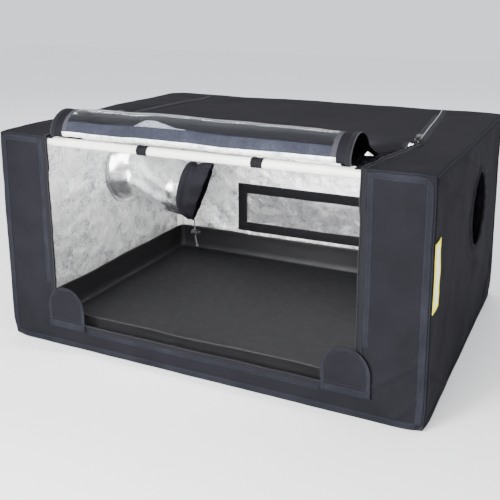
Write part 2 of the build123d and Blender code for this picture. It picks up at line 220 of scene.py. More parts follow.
# The shut coil's two greys are lighter than its plastic: a painted highlight along the shut roof zips,
# brighter on the right than on the left.
COIL_PAINTED_HIGHLIGHT = moulded("zip_coil_painted_highlight", (0.2, 0.2, 0.23), 0.35)
COIL_PAINTED_FAINT_HIGHLIGHT = moulded("zip_coil_painted_faint_highlight", (0.035, 0.035, 0.042), 0.45)
ENAMEL = moulded("zip_enamel", (0.006, 0.006, 0.007), 0.5, coat=0.04)
NYLON = moulded("corner_nylon", (0.01, 0.01, 0.011), 0.5, 0.00012)
ACETAL = moulded("lock_acetal", (0.01, 0.01, 0.012), 0.3, coat=0.2)
TRAY = moulded("tray_sheet", (0.004, 0.004, 0.005), 0.6, 0.0002)
MESH = woven_tape("insect_mesh", (0.1, 0.1, 0.108), 0.0005)


def powder_coat():
    """Off-white powder coat of the frame tubes, faintly dusty."""
    color = (0.84, 0.83, 0.785)
    s = Shader("powder_coat", color=color, Roughness=0.34, Coat_Weight=0.25, Coat_Roughness=0.2)
    dust = s.texture("Noise", Scale=35.0, Detail=6.0, Roughness=0.6)
    s.color(s.ramp(dust, [(0.3, shade(color, 0.9)), (0.6, color), (0.8, (0.88, 0.875, 0.84))]))
    s.roughness(dust, 0.28, 0.42)
    s.bump(s.texture("Noise", Scale=900.0, Detail=2.0), 0.00008, 0.7)
    return s.material


def clear_film():
    """Thin clear window film with soft ripples."""
    s = Shader("clear_film", color=(0.86, 0.89, 0.93), Roughness=0.03, IOR=1.16,
               Transmission_Weight=1.0, Coat_Weight=0.3, Coat_Roughness=0.05)
    ripple = s.texture("Noise", Scale=24.0, Detail=1.5, Roughness=0.45)
    s.roughness(ripple, 0.02, 0.09)
    s.bump(ripple, 0.0018, 0.4)
    return s.material


def label_cloth():
    """Blank woven label: yellow border round a white middle."""
    s = Shader("label_cloth", color=(0.85, 0.84, 0.8), Roughness=0.7)
    grain = s.texture("Noise", Scale=500.0, Detail=2.0)
    s.color(s.ramp(grain, [(0.3, (0.78, 0.77, 0.7)), (0.7, (0.93, 0.92, 0.86))]))
    s.bump(s.weave(0.0007), 0.0002, 0.8)
    return s.material


def braided_cord():
    """Dark braided drawcord."""
    s = Shader("braided_cord", color=(0.025, 0.025, 0.028), Roughness=0.75, Sheen_Weight=0.2)
    braid = s.texture("Wave", Scale=160.0, bands_direction="DIAGONAL")
    s.color(s.ramp(braid, [(0.2, (0.012, 0.012, 0.014)), (0.8, (0.06, 0.06, 0.066))]))
    s.bump(braid, 0.0004, 1.0)
    return s.material


POWDER = powder_coat()
FILM = clear_film()
CORD = braided_cord()
LABEL_WHITE = label_cloth()
LABEL_YELLOW = woven_tape("label_yellow", (0.86, 0.8, 0.03), 0.0007)


# ---- mesh helpers -----------------------------------------------------------------------------
def slump(point):
    """The whole cover's slight slump: nothing sewn is quite straight."""
    x, y, z = (float(c) for c in point)
    up = smoothstep(0, 60, z)
    level = (0.4 + 0.6 * up) * (1 - 0.65 * smoothstep(380, 398, z))
    from_base_corner = math.hypot(HALF_W - abs(x), HALF_D - abs(y), z)
    from_roof_corner = math.hypot(HALF_W - abs(x), HALF_D - abs(y), HEIGHT - z)
    blunt = 2.6 * math.exp(-(from_base_corner / 20) ** 2)
    blunt += 1.2 * math.exp(-(from_roof_corner / 16) ** 2)
    moved = []
    for value, seed, share, inward in ((x, 201, level, -math.copysign(blunt, x)),
                                       (y, 203, level, -math.copysign(blunt, y)),
                                       (z, 205, up, blunt if z < HEIGHT / 2 else -blunt)):
        wave = 2.2 * ripple(x, y, z, 190, seed) + 0.8 * ripple(x, y, z, 70, seed + 1)
        moved.append(value + share * wave + inward)
    return moved


def make_object(name, verts, faces, materials, indices=None, smooth=True, stiff=False):
    """An object from vertices in millimetres; cloth follows the cover's slump, stiff pieces don't."""
    mesh = bpy.data.meshes.new(name)
    placed = verts if stiff else [slump(v) for v in verts]
    mesh.from_pydata([tuple(c * MM for c in v) for v in placed], [], faces)
    for material in materials:
        mesh.materials.append(material)
    if indices is not None:
        mesh.polygons.foreach_set("material_index", indices)
    mesh.polygons.foreach_set("use_smooth", [smooth] * len(mesh.polygons))
    mesh.validate()
    obj = bpy.data.objects.new(name, mesh)
    bpy.context.scene.collection.objects.link(obj)
    return obj


def smoothstep(lo, hi, value):
    """0 below lo, 1 above hi and a smooth rise between."""
    t = min(1.0, max(0.0, (value - lo) / (hi - lo)))
    return t * t * (3 - 2 * t)


def ripple(x, y, z, scale, seed=0.0):
    """Smooth noise in -1..1 whose features are about scale millimetres across."""
    return noise.noise(Vector((x / scale + seed, y / scale - seed, z / scale + 2 * seed)))


def ticks(lo, hi, step, marks=(), fine=()):
    """Sorted grid lines from lo to hi with the marks on them, and closer ones near the fine marks."""
    values = {lo, hi}
    count = max(1, round((hi - lo) / step))
    values.update(lo + (hi - lo) * i / count for i in range(count + 1))
    keep = set(marks) | {lo, hi}
    for mark in fine:
        keep.update(mark + d for d in (-9, -6, -3.5, -1.5, 1.5, 3.5, 6, 9) if lo < mark + d < hi)
    values = {v for v in values if all(abs(v - m) > step * 0.4 for m in keep)}
    return sorted(values | keep)


RIM = 2          # the cut edge's place among a sheet's materials


def cloth_sheet(name, surface, us, vs, materials, thick=CLOTH, hole=None, region=None,
                inner=None, closed_u=False, stiff=False):
    """A two-faced sheet over a (u, v) grid.

    materials are those of the outer face, inner face and cut edge, and more for region(u, v),
    which gives (outer index, inner index) of a cell. hole(u, v) leaves a cell out. inner(u, v)
    is the inner face's own relief.
    """
    nu, nv = len(us), len(vs)
    grid = np.array([[surface(u, v) for v in vs] for u in us], float)
    if closed_u:
        du = np.roll(grid, -1, axis=0) - np.roll(grid, 1, axis=0)
    else:
        du = np.gradient(grid, axis=0)
    dv = np.gradient(grid, axis=1)
    normal = np.cross(du, dv)
    normal /= np.maximum(np.linalg.norm(normal, axis=2, keepdims=True), 1e-9)
    depth = np.full((nu, nv, 1), thick)
    if inner is not None:
        depth[..., 0] += np.array([[inner(u, v) for v in vs] for u in us], float)
    back = grid - normal * depth
    verts = np.concatenate([grid.reshape(-1, 3), back.reshape(-1, 3)])
    offset = nu * nv
    faces, indices, edge_count, edge_of = [], [], {}, {}
    columns = nu if closed_u else nu - 1
    for i in range(columns):
        j = (i + 1) % nu
        um = (us[i] + (us[j] if j else us[i] + us[1] - us[0])) / 2
        for k in range(nv - 1):
            vm = (vs[k] + vs[k + 1]) / 2
            if hole is not None and hole(um, vm):
                continue
            a, b, c, d = i * nv + k, j * nv + k, j * nv + k + 1, i * nv + k + 1
            out_index, in_index = region(um, vm) if region is not None else (0, 1)
            faces.append((a, b, c, d))
            indices.append(out_index)
            faces.append((a + offset, d + offset, c + offset, b + offset))
            indices.append(in_index)
            for p, q in ((a, b), (b, c), (c, d), (d, a)):
                key = (min(p, q), max(p, q))
                edge_count[key] = edge_count.get(key, 0) + 1
                edge_of[key] = (p, q)
    for key, count in edge_count.items():
        if count == 1:
            p, q = edge_of[key]
            faces.append((q, p, p + offset, q + offset))
            indices.append(RIM)
    used = sorted({v for f in faces for v in f})
    renumber = {v: n for n, v in enumerate(used)}
    faces = [tuple(renumber[v] for v in f) for f in faces]
    obj = make_object(name, verts[used], faces, materials, indices, stiff=stiff)
    mark_sharp_rim(obj, RIM)
    return obj


def mark_sharp_rim(obj, rim_index):
    """Sharp edges round the cut edge, so that its shading doesn't bleed over the faces."""
    mesh = obj.data
    rim = {p.index for p in mesh.polygons if p.material_index == rim_index}
    sharp = set()
    for p in mesh.polygons:
        if p.index in rim:
            sharp.update(p.edge_keys)
    flags = [e.key in sharp for e in mesh.edges]
    attribute = mesh.attributes.get("sharp_edge")
    if attribute is None:
        attribute = mesh.attributes.new("sharp_edge", "BOOLEAN", "EDGE")
    attribute.data.foreach_set("value", flags)


def finish_piece(obj, body, slot, *nodes):
    """Ties a piece to its body and hides the CAD nodes that it stands for; its material slot is not used.
    """
    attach(obj, body)
    if nodes:
        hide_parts(*nodes)
    return obj


class Beads:
    """Many small elongated beads, such as stitches or zip teeth, gathered into one mesh."""

    def __init__(self):
        self.verts, self.faces = [], []

    def add(self, centre, along, across, up, length, width, height):
        """A six-cornered bead: two tips and a lozenge belt."""
        base = len(self.verts)
        c, l = np.array(centre), np.array(along) * length / 2
        w, h = np.array(across) * width / 2, np.array(up) * height / 2
        self.verts += [c - l, c - l * 0.55 + w * 0.8 + h, c - l * 0.55 - w * 0.8 + h,
                       c + l * 0.55 + w * 0.8 + h, c + l * 0.55 - w * 0.8 + h, c + l,
                       c - l * 0.55 + w - h, c - l * 0.55 - w - h, c + l * 0.55 + w - h,
                       c + l * 0.55 - w - h]
        for f in ((0, 1, 2), (0, 6, 1), (0, 2, 7), (1, 3, 4, 2), (1, 6, 8, 3), (2, 4, 9, 7),
                  (3, 5, 4), (3, 8, 5), (4, 5, 9), (0, 7, 6), (6, 7, 9, 8), (8, 9, 5)):
            self.faces.append(tuple(base + i for i in f))

    def run(self, path, up, pitch, length, width, height, lift):
        """Beads every pitch along a path of points; up is the surface's normal there."""
        points = [np.array(p, float) for p in path]
        travelled, target = 0.0, pitch / 2
        for a, b in zip(points, points[1:]):
            span = np.linalg.norm(b - a)
            if span < 1e-6:
                continue
            along = (b - a) / span
            n = np.array(up, float)
            across = np.cross(n, along)
            across /= max(np.linalg.norm(across), 1e-9)
            n = np.cross(along, across)
            while target <= travelled + span:
                centre = a + along * (target - travelled) + n * lift
                self.add(centre, along, across, n, length, width, height)
                target += pitch
            travelled += span

    def build(self, name, material, stiff=False):
        return make_object(name, self.verts, self.faces, [material], stiff=stiff)


STITCH = dict(pitch=3.4, length=2.4, width=0.8, height=0.5)
stitching = {}


def stitches(body, path, up, lift):
    """Adds a row of stitches to the thread of a body."""
    stitching.setdefault(body, Beads()).run(path, up, lift=lift, **STITCH)


# ---- camera, lights and floor -----------------------------------------------------------------
def look_from():
    """The camera: front right, a little above the roof."""
    camera = bpy.data.cameras.new("camera")
    camera.sensor_width = 36.0
    camera.lens = 53.68
    camera.shift_x, camera.shift_y = -0.034, -0.16
    camera.clip_end = 50
    obj = bpy.data.objects.new("camera", camera)
    obj.location = (0.6131, -1.2996, 0.6462)
    azimuth, elevation = math.radians(25.3), math.radians(13.46)
    obj.rotation_euler = (math.pi / 2 - elevation, 0, azimuth)
    bpy.context.scene.collection.objects.link(obj)
    bpy.context.scene.camera = obj


def area_light(name, place, target, size, power):
    """A soft rectangular light aimed at a target, in metres and watts."""
    light = bpy.data.lights.new(name, "AREA")
    light.shape = "RECTANGLE"
    light.size, light.size_y = size
    light.energy = power
    obj = bpy.data.objects.new(name, light)
    obj.location = place
    obj.rotation_euler = (Vector(target) - Vector(place)).to_track_quat("-Z", "Y").to_euler()
    bpy.context.scene.collection.objects.link(obj)


def studio():
    """Soft studio light and the pale floor."""
    world = bpy.data.worlds.new("studio")
    bpy.context.scene.world = world
    world.use_nodes = True
    world.node_tree.nodes["Background"].inputs["Color"].default_value = (0.93, 0.95, 1.0, 1)
    world.node_tree.nodes["Background"].inputs["Strength"].default_value = 1.28
    area_light("key", (-0.85, -2.5, 1.4), (0, 0, 0.2), (0.9, 0.7), 138)
    area_light("fill", (2.4, -1.0, 1.3), (0, 0, 0.2), (1.2, 1.2), 21)
    area_light("back", (-0.7, 1.9, 2.1), (0, 0, 0.4), (2.8, 0.07), 34)
    area_light("mouth", (0.15, -1.5, 0.5), (-0.1, 0.2, 0.15), (0.9, 0.4), 30)
    area_light("inside", (0.0, -0.2, 0.385), (-0.08, 0.2, 0.12), (0.5, 0.08), 6.0)
    half, n = 6000.0, 8
    verts, faces = [], []
    for i in range(n + 1):
        for k in range(n + 1):
            verts.append((-half + 2 * half * i / n, -half + 2 * half * k / n, -0.3))
    for i in range(n):
        for k in range(n):
            a = i * (n + 1) + k
            faces.append((a, a + n + 1, a + n + 2, a + 1))
    floor = Shader("studio_floor", color=(0.93, 0.93, 0.93), Roughness=0.8)
    make_object("studio_floor", verts, faces, [floor.material], stiff=True)


# ---- cover ------------------------------------------------------------------------------------
def rounded(distance):
    """How far the surface turns in at that distance from a sewn edge."""
    if distance >= EDGE_R:
        return 0.0
    return EDGE_R - math.sqrt(max(0.0, EDGE_R ** 2 - (EDGE_R - distance) ** 2))


SEAM_AT = EDGE_R * (1 - math.sqrt(0.5))     # where two rounded panels meet


def crease(a, b, start, end, width, height):
    """A soft ridge along the line from start to end."""
    sx, sy = end[0] - start[0], end[1] - start[1]
    length = math.hypot(sx, sy)
    t = ((a - start[0]) * sx + (b - start[1]) * sy) / length ** 2
    off = ((a - start[0]) * sy - (b - start[1]) * sx) / length
    if not -0.1 < t < 1.1:
        return 0.0
    fade = smoothstep(-0.1, 0.25, t) * (1 - smoothstep(0.75, 1.1, t))
    return height * fade * math.exp(-(off / width) ** 2) * (1 if off > 0 else 0.55)


class Panel:
    """One flat side of the tent: maps (a, b) in its plane to a displaced point."""

    def __init__(self, normal, low, high, sag, creases=(), seed=0.0):
        self.normal, self.low, self.high = normal, low, high
        self.sag, self.creases, self.seed = sag, creases, seed

    def plane(self, a, b):
        nx, ny, nz = self.normal
        if nx:
            return np.array((nx * HALF_W, a, b))
        if ny:
            return np.array((a, ny * HALF_D, b))
        return np.array((a, b, HEIGHT if nz > 0 else 0.0))

    def relief(self, a, b):
        edge = min(a - self.low[0], self.high[0] - a, b - self.low[1], self.high[1] - b)
        free = smoothstep(4, 60, edge)
        soft = smoothstep(2, 22, edge)
        p = self.plane(a, b)
        value = -self.sag * free
        value += free * (2.2 * ripple(*p, 170, self.seed) + 1.1 * ripple(*p, 75, self.seed + 3))
        value += soft * 0.45 * ripple(*p, 30, self.seed + 7)
        for c in self.creases:
            value += soft * crease(a, b, *c)
        if self is FLOOR:
            return max(-FLOOR_RISE, min(value, 0.0))
        return value

    def surface(self, a, b):
        inward = 0.0
        for distance in (a - self.low[0], self.high[0] - a, b - self.low[1], self.high[1] - b):
            inward += rounded(distance)
        return self.plane(a, b) + np.array(self.normal) * (self.relief(a, b) - inward)

    def strip(self, path, lift=0.0):
        """Points of the surface along a path of (a, b), lifted off it."""
        return [self.surface(a, b) + np.array(self.normal) * lift for a, b in path]


# Each crease: its start and end in the panel, its width and its height.
FRONT = Panel((0, -1, 0), (-HALF_W, 0), (HALF_W, HEIGHT), 0.3, seed=1.0, creases=(
    ((-392, 96), (-326, 10), 4.5, 3.8), ((-380, 170), (-318, 66), 10, 3.4),
    ((396, 118), (312, 54), 5.0, 4.2), ((398, 60), (345, 6), 5.0, 3.4),
    ((322, 92), (388, 12), 9, 2.6), ((-396, 320), (-325, 396), 11, 2.2),
    ((326, 388), (396, 300), 12, 2.4)))
REAR = Panel((0, 1, 0), (-HALF_W, 0), (HALF_W, HEIGHT), 1.0, seed=2.0, creases=(
    ((-392, 120), (-270, 8), 14, 3.2), ((392, 120), (270, 8), 14, 3.2),
    ((-390, 300), (-230, 395), 16, 2.4), ((385, 300), (240, 395), 16, 2.6)))
LEFT = Panel((-1, 0, 0), (-HALF_D, 0), (HALF_D, HEIGHT), 1.2, seed=3.0, creases=(
    ((-270, 390), (-60, 250), 18, 3.2), ((290, 100), (200, 8), 13, 3.4),
    ((-285, 100), (-170, 8), 14, 2.8)))
RIGHT = Panel((1, 0, 0), (-HALF_D, 0), (HALF_D, HEIGHT), 1.2, seed=4.0, creases=(
    ((-280, 392), (-40, 290), 20, 3.4), ((292, 110), (205, 6), 14, 3.6),
    ((-285, 90), (-150, 6), 12, 4.2), ((-120, 392), (60, 330), 15, 3.2),
    ((40, 170), (260, 60), 20, 3.4)))
FLOOR_RISE = 1.3       # the floor only lifts, and less than the tray's gap
FLOOR = Panel((0, 0, -1), (-HALF_W, -HALF_D), (HALF_W, HALF_D), 0.7, seed=5.0)


def line(a, b, step=4.0):
    """Points from a to b, about step apart."""
    a, b = np.array(a, float), np.array(b, float)
    count = max(2, int(np.linalg.norm(b - a) / step))
    return [tuple(a + (b - a) * i / count) for i in range(count + 1)]


def panel_grid(panel, step, marks):
    """Grid lines of a panel along both its directions, closer at its edges."""
    lines = []
    for low, high, kept in zip(panel.low, panel.high, marks):
        ends = (low + SEAM_AT, high - SEAM_AT)
        lines.append(ticks(*ends, step, kept, ends))
    return lines


def faces_outward(panel):
    """Whether a grid in the order (a, b) already looks along the panel's normal."""
    nx, ny, nz = panel.normal
    return (nx > 0) or (ny < 0) or (nz > 0)


def panel_sheet(name, panel, step, hole=None, shift=None, marks=((), ())):
    """The cloth of a panel: Oxford outside, foil inside."""
    us, vs = panel_grid(panel, step, marks)

    def surface(a, b):
        if shift is not None:
            a, b = shift(a, b)
        return panel.surface(a, b)

    def foil(a, b):
        p = panel.plane(a, b)
        edge = min(a - panel.low[0], panel.high[0] - a, b - panel.low[1], panel.high[1] - b)
        return smoothstep(6, 40, edge) * (1.6 * abs(ripple(*p, 26, 11)) + 0.7 * ripple(*p, 11, 13))

    if faces_outward(panel):
        return cloth_sheet(name, surface, us, vs, [OXFORD, LINING, OXFORD], hole=hole, inner=foil)
    return cloth_sheet(name, lambda v, u: surface(u, v), vs, us, [OXFORD, LINING, OXFORD],
                       hole=(lambda v, u: hole(u, v)) if hole else None,
                       inner=lambda v, u: foil(u, v))


def jamb_wave(b):
    """The jamb's zipped edge wavers in and out."""
    return 2.2 * ripple(0, 0, b, 55, 21) + 1.2 * ripple(0, 0, b, 24, 5)


def front_cloth():
    """The front: two jambs and the sill round the door opening."""
    def hole(a, b):
        return abs(a) < DOOR_HALF and b > SILL_TOP

    def shift(a, b):
        pull = 1 - smoothstep(0, 26, abs(abs(a) - DOOR_HALF))
        fade = smoothstep(SILL_TOP, SILL_TOP + 25, b) * (1 - smoothstep(372, 396, b))
        return a + math.copysign(1, a) * jamb_wave(b) * pull * fade, b

    door_line = (-DOOR_HALF, -DOOR_HALF + 8, -DOOR_HALF - 6, DOOR_HALF, DOOR_HALF - 8, DOOR_HALF + 6)
    obj = panel_sheet("front_cloth", FRONT, 4.2, hole, shift, (door_line, (SILL_TOP, SILL_TOP - 6)))
    finish_piece(obj, "enclosure", "cover_fabric", "front_panel")


def side_cloth(side, panel):
    """A side wall with its round port, its grid drawn in to the hole's rim."""
    rim = PORT_R + 2.0

    def hole(a, b):
        return math.hypot(a - PORT_Y, b - PORT_Z) < rim - 0.5

    def shift(a, b):
        da, db = a - PORT_Y, b - PORT_Z
        r = math.hypot(da, db)
        if abs(r - rim) > 5.5 or r < 1:
            return a, b
        return PORT_Y + da * rim / r, PORT_Z + db * rim / r

    obj = panel_sheet(f"{side}_wall_cloth", panel, 6.5, hole, shift)
    finish_piece(obj, "enclosure", "cover_fabric", f"{side}_wall")


def rear_cloth():
    """The rear wall with its vent opening."""
    def hole(a, b):
        return abs(a) < VENT_HALF and VENT_LOW < b < VENT_HIGH

    obj = panel_sheet("rear_cloth", REAR, 9.0, hole, None,
                      ((-VENT_HALF, VENT_HALF), (VENT_LOW, VENT_HIGH)))
    finish_piece(obj, "enclosure", "cover_fabric", "rear_wall")


def floor_cloth():
    """The floor, lying under the tray."""
    obj = panel_sheet("floor_cloth", FLOOR, 20.0)
    finish_piece(obj, "enclosure", "cover_fabric", "floor_panel")


# ---- roof -------------------------------------------------------------------------------------
def zip_x(y):
    """Half the width between the roof zips at depth y."""
    if y < HINGE_Y:
        return DOOR_HALF + (y + HALF_D) / (HINGE_Y + HALF_D) * (ZIP_SLIDER_X - DOOR_HALF)
    return ZIP_SLIDER_X + (y - HINGE_Y) / (HALF_D - HINGE_Y) * (ZIP_REAR_X - ZIP_SLIDER_X)


def roof_height(x, y):
    """The roof's relief: it sags a little between the tubes and puckers along the zips."""
    edge = min(HALF_W - abs(x), HALF_D - y, HALF_D + y)
    free = smoothstep(2, 70, edge)
    z = HEIGHT - rounded(HALF_W - abs(x)) - rounded(HALF_D - y) - rounded(HALF_D + y)
    pucker = math.exp(-((abs(x) - zip_x(y)) / 14) ** 2)
    shut = math.exp(-((abs(x) - zip_x(y)) / 20) ** 2) * smoothstep(HINGE_Y - 8, HINGE_Y + 16, y)
    z -= free * (1.6 + 2.2 * shut)
    z += free * (1 - 0.8 * shut) * (1.6 * ripple(x, y, 0, 150, 31) + 0.8 * ripple(x, y, 0, 60, 33))
    z += pucker * free * (1 - 0.8 * shut) * (1.3 + 0.9 * ripple(x, y * 3.0, 0, 30, 35))
    return z


def strip_point(sign, a, y):
    """A point of a roof strip: a is the distance in from the zip line, negative on its loose lip."""
    free = 1 - smoothstep(HINGE_Y - 30, HINGE_Y - 4, y)
    reach = LIP * (0.16 + 0.84 * (1 - smoothstep(-225, HINGE_Y - 25, y)))
    reach *= 0.22 + 0.78 * smoothstep(-284, -262, y)
    x = zip_x(y) + 0.5 + (a if a > 0 else a * free * reach / LIP)
    loose = free * (1 - smoothstep(-4, 12, a)) * smoothstep(-282, -262, y)
    fold = smoothstep(0, 11, -a)
    fall = loose * (1.5 + 2.2 * ripple(0, y, a, 34, 41 + sign))
    fall += loose * fold * (3.6 + 7.0 * ripple(a * 1.5, y, 0, 19, 43) + 4.5 * ripple(a, y, 0, 9, 44))
    fall += free * smoothstep(0, 6, -a) * 0.8 + free * smoothstep(14, LIP, -a) * 0.6
    x -= loose * 3.0 * ripple(0, y, 0, 27, 45 + sign)
    height = roof_height(max(x, zip_x(y)), y) if y > -HALF_D + 40 else roof_height(zip_x(y), y)
    return np.array((sign * x, y, min(height - fall, HEIGHT - 0.6)))


def roof_strip(side, sign):
    """The roof cloth outside a zip: from its loose lip, past the zip line, to the wall seam."""
    lip_lines = [-1.0, -0.93, -0.86, -0.79, -0.72, -0.65, -0.58, -0.5, -0.42, -0.34, -0.26, -0.18, -0.1]
    near_zip = [0.0, 0.03, 0.06, 0.09, 0.12, 0.16]
    us = sorted(set(lip_lines + near_zip + ticks(0.22, 1.0, 0.075) + [0.955, 0.97, 0.985]))
    ends = (-HALF_D + SEAM_AT, HALF_D - SEAM_AT)
    vs = ticks(*ends, 3.2, (HINGE_Y,), ends)

    def surface(u, y):
        return strip_point(sign, u * LIP if u < 0 else u * (HALF_W - SEAM_AT - zip_x(y) - 0.5), y)

    def region(u, y):
        return 0, (2 if u < 0.3 and y < HINGE_Y else 1)

    def hole(u, y):
        return u < 0 and y > HINGE_Y

    if sign > 0:
        obj = cloth_sheet(f"roof_{side}_cloth", surface, us, vs, [OXFORD, LINING, OXFORD_DARK],
                          region=region, hole=hole)
    else:
        obj = cloth_sheet(f"roof_{side}_cloth", lambda v, u: surface(u, v), vs, us,
                          [OXFORD, LINING, OXFORD_DARK], region=lambda v, u: region(u, v),
                          hole=lambda v, u: hole(u, v))
    finish_piece(obj, "enclosure", "cover_fabric", f"roof_{side}_strip")


# Rear edge of the roof over the hinge and the roll's crest, down to its hem, under and round
# twice inside: the (y, z) of the door cloth.
# Places on it are counted by its points, so 16.5 is half way between points 16 and 17.
DOOR_PATH = [
    (298.5, 398.5), (295.0, 399.7), (280, 400.3), (220, 399.6), (150, 398.9), (90, 398.6), (30, 398.9),
    (-25, 399.8), (-60, 400.6), (-84, 400.9), (-112, 401.2), (-140, 400.6), (-165, 400.4), (-187, 404.5),
    (-206, 416), (-226, 431), (-248, 442), (-267, 444.5), (-284, 438), (-295, 428), (-301, 417),
    (-302.5, 408), (-299, 402), (-288, 400.6), (-268, 400.8), (-244, 401.4), (-219, 402.2), (-199, 404.6),
    (-209, 414), (-236, 429), (-262, 435.5), (-279, 430), (-287, 420), (-281, 410), (-262, 406.5),
    (-242, 409), (-231, 416), (-239, 424), (-256, 427)]
HINGE_AT, NECK_AT = 9, 11
CREST_AT, HEM_TOP, HEM_LOW, FOLD_AT = 16.5, 19.0, 20.6, 22.6
WINDOW_BACK = 14.4
ROLL_CORE = 35
DOOR_END = len(DOOR_PATH) - 1
WINDOW_EDGE, BORDER = 0.885, 0.03      # shares of the half width


def spline(points, t):
    """A point on a Catmull-Rom curve through the points; t counts them."""
    i = min(int(t), len(points) - 2)
    f = t - i
    p = [np.array(points[min(max(i + k, 0), len(points) - 1)], float) for k in (-1, 0, 1, 2)]
    linear = p[2] - p[0]
    square = 2 * p[0] - 5 * p[1] + 4 * p[2] - p[3]
    cube = 3 * p[1] - p[0] - 3 * p[2] + p[3]
    return 0.5 * (2 * p[1] + linear * f + square * f ** 2 + cube * f ** 3)


def door_half_width(t):
    """Half the cloth's width at that place on the door path."""
    y = spline(DOOR_PATH, t)[0]
    if t <= HINGE_AT - 0.4:
        return zip_x(y) - 0.5
    if t < HINGE_AT:
        return zip_x(y) - 0.5 - smoothstep(HINGE_AT - 0.4, HINGE_AT, t) * 12.0
    return 303.5 - 28.5 * smoothstep(NECK_AT - 0.5, 14.5, t)


def door_surface(u, t):
    """u runs from -1 to 1 across the door."""
    y, z = spline(DOOR_PATH, t)
    x = u * door_half_width(t)
    if t < HINGE_AT:
        z = z - HEIGHT + roof_height(x, max(y, -HALF_D + 60)) + 0.6 * smoothstep(3, 5, t)
        if t < 2:
            z = spline(DOOR_PATH, t)[1]
        elif t < 3:
            z = spline(DOOR_PATH, t)[1] * (3 - t) + z * (t - 2)
    loose = smoothstep(HINGE_AT, 13, t)
    droop = 1 - (2.4 * (u + 0.15)) ** 2 * 0.35
    z += loose * (1 - smoothstep(HEM_TOP, HEM_LOW, t)) * 1.4 * droop * smoothstep(13, CREST_AT, t)
    z += loose * (1.6 * ripple(x, y, z, 95, 51) + 0.7 * ripple(x, y * 2, z, 38, 53))
    y += loose * 1.0 * ripple(x, z, y, 70, 55) * smoothstep(13, 16, t)
    gather = smoothstep(0.88, 1.0, abs(u)) * smoothstep(HINGE_AT, 10.2, t) * (1 - smoothstep(14.0, 15.5, t))
    z += gather * (7.0 * ripple(x * 0.4, y, 0, 19, 52) + 4.0 * ripple(x, y, 0, 9, 56) - 9.0)
    x += math.copysign(1, u) * gather * 5.0 * ripple(0, y, 0, 24, 54)
    if t > FOLD_AT:
        x *= 1 - 0.006 * (t - FOLD_AT)
        x += 1.5 * ripple(t, 0, 0, 2.0, 57)
    return (x, y, z)


def door_cells():
    """Grid lines across and along the door, on the borders of its materials."""
    border = WINDOW_EDGE + BORDER
    us = ticks(-1.0, 1.0, 0.03, (-WINDOW_EDGE, WINDOW_EDGE, -border, border))
    ts = ticks(0.0, float(DOOR_END), 0.34, (HINGE_AT, WINDOW_BACK, HEM_TOP, HEM_LOW, FOLD_AT))
    return us, ts


def in_window(u, t):
    """Whether that place on the door is clear film."""
    return abs(u) < WINDOW_EDGE and WINDOW_BACK < t < HEM_TOP


def blended(obj):
    """Bakes the world transform into a piece that lies over the line between the sliders, from the roof to
    the loose flap.
    """
    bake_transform(obj)


def door_cloth():
    """The roof behind the hinge, the loose flap and the rolled door, in one cloth."""
    us, ts = door_cells()

    def region(u, t):
        if t < WINDOW_BACK:
            return (0, 5) if t > HINGE_AT and abs(u) > 0.84 else (0, 1)
        if t < HEM_LOW and WINDOW_EDGE < abs(u) < WINDOW_EDGE + BORDER:
            return 3, 5
        if t < HEM_LOW and abs(u) > WINDOW_EDGE:
            return 0, 5
        if t < HEM_LOW:
            return 4, 5
        if t < FOLD_AT:
            return (0, 5) if abs(u) > WINDOW_EDGE + BORDER else (1, 5)
        return (0, 5) if t < ROLL_CORE else (5, 5)

    obj = cloth_sheet("door_cloth", lambda t, u: door_surface(u, t), ts, us,
                      [OXFORD, LINING, OXFORD, TAPE_GREY, HEM, OXFORD_DARK],
                      thick=1.1, hole=lambda t, u: in_window(u, t),
                      region=lambda t, u: region(u, t))
    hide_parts("roof_rear_panel", "door_flap", "door_roll")
    blended(obj)


def turned_patch(name, u0, u1, upper, lower, material):
    """A patch lying on the roll's inner turn between two edges given as t along the door path."""
    def surface(u, v):
        t = upper(u) + (lower(u) - upper(u)) * v
        p, q = spline(DOOR_PATH, t - 0.05), spline(DOOR_PATH, t + 0.05)
        tangent = (q - p) / np.linalg.norm(q - p)
        x, y, z = door_surface(u, t)
        return (x, y + 0.7 * tangent[1], z - 0.7 * tangent[0])

    us = list(np.linspace(u0, u1, 60))
    vs = list(np.linspace(0, 1, 8))
    patch = cloth_sheet(name, lambda v, u: surface(u, v), vs, us, [material] * 3, thick=0.3)
    finish_piece(patch, "door", "silver_lining" if material is LINING else "cover_fabric")


def door_patches():
    """The foil corner and the black tape end that show through the window."""
    outline = ((-0.47, 0.0), (-0.37, 1.0), (-0.31, 0.97), (-0.21, 0.7), (-0.13, 0.42), (0.0, 0.36),
               (0.1, 0.2), (0.18, 0.14), (0.3, 0.0))

    def foil_top(u):
        rise = float(np.interp(u, [p[0] for p in outline], [p[1] for p in outline]))
        return 32.0 - 1.7 * rise + 0.1 * ripple(u, 0, 0, 0.06, 141)

    turned_patch("door_foil_corner", -0.47, 0.3, foil_top, lambda u: 32.3, LINING)
    turned_patch("door_tape_end", -0.87, -0.66, lambda u: 29.9 + (u + 0.87) * 6.5,
                 lambda u: 31.0 + (u + 0.87) * 4.5, OXFORD_DARK)


def door_film():
    """The clear window, in the door cloth's opening."""
    us, ts = door_cells()

    def surface(u, t):
        x, y, z = door_surface(u, t)
        return (x, y, z - 0.1)

    obj = cloth_sheet("door_window_film", lambda t, u: surface(u, t), ts, us, [FILM, FILM, FILM],
                      thick=0.5, hole=lambda t, u: not in_window(u, t))
    finish_piece(obj, "door", "clear_film", "door_window")


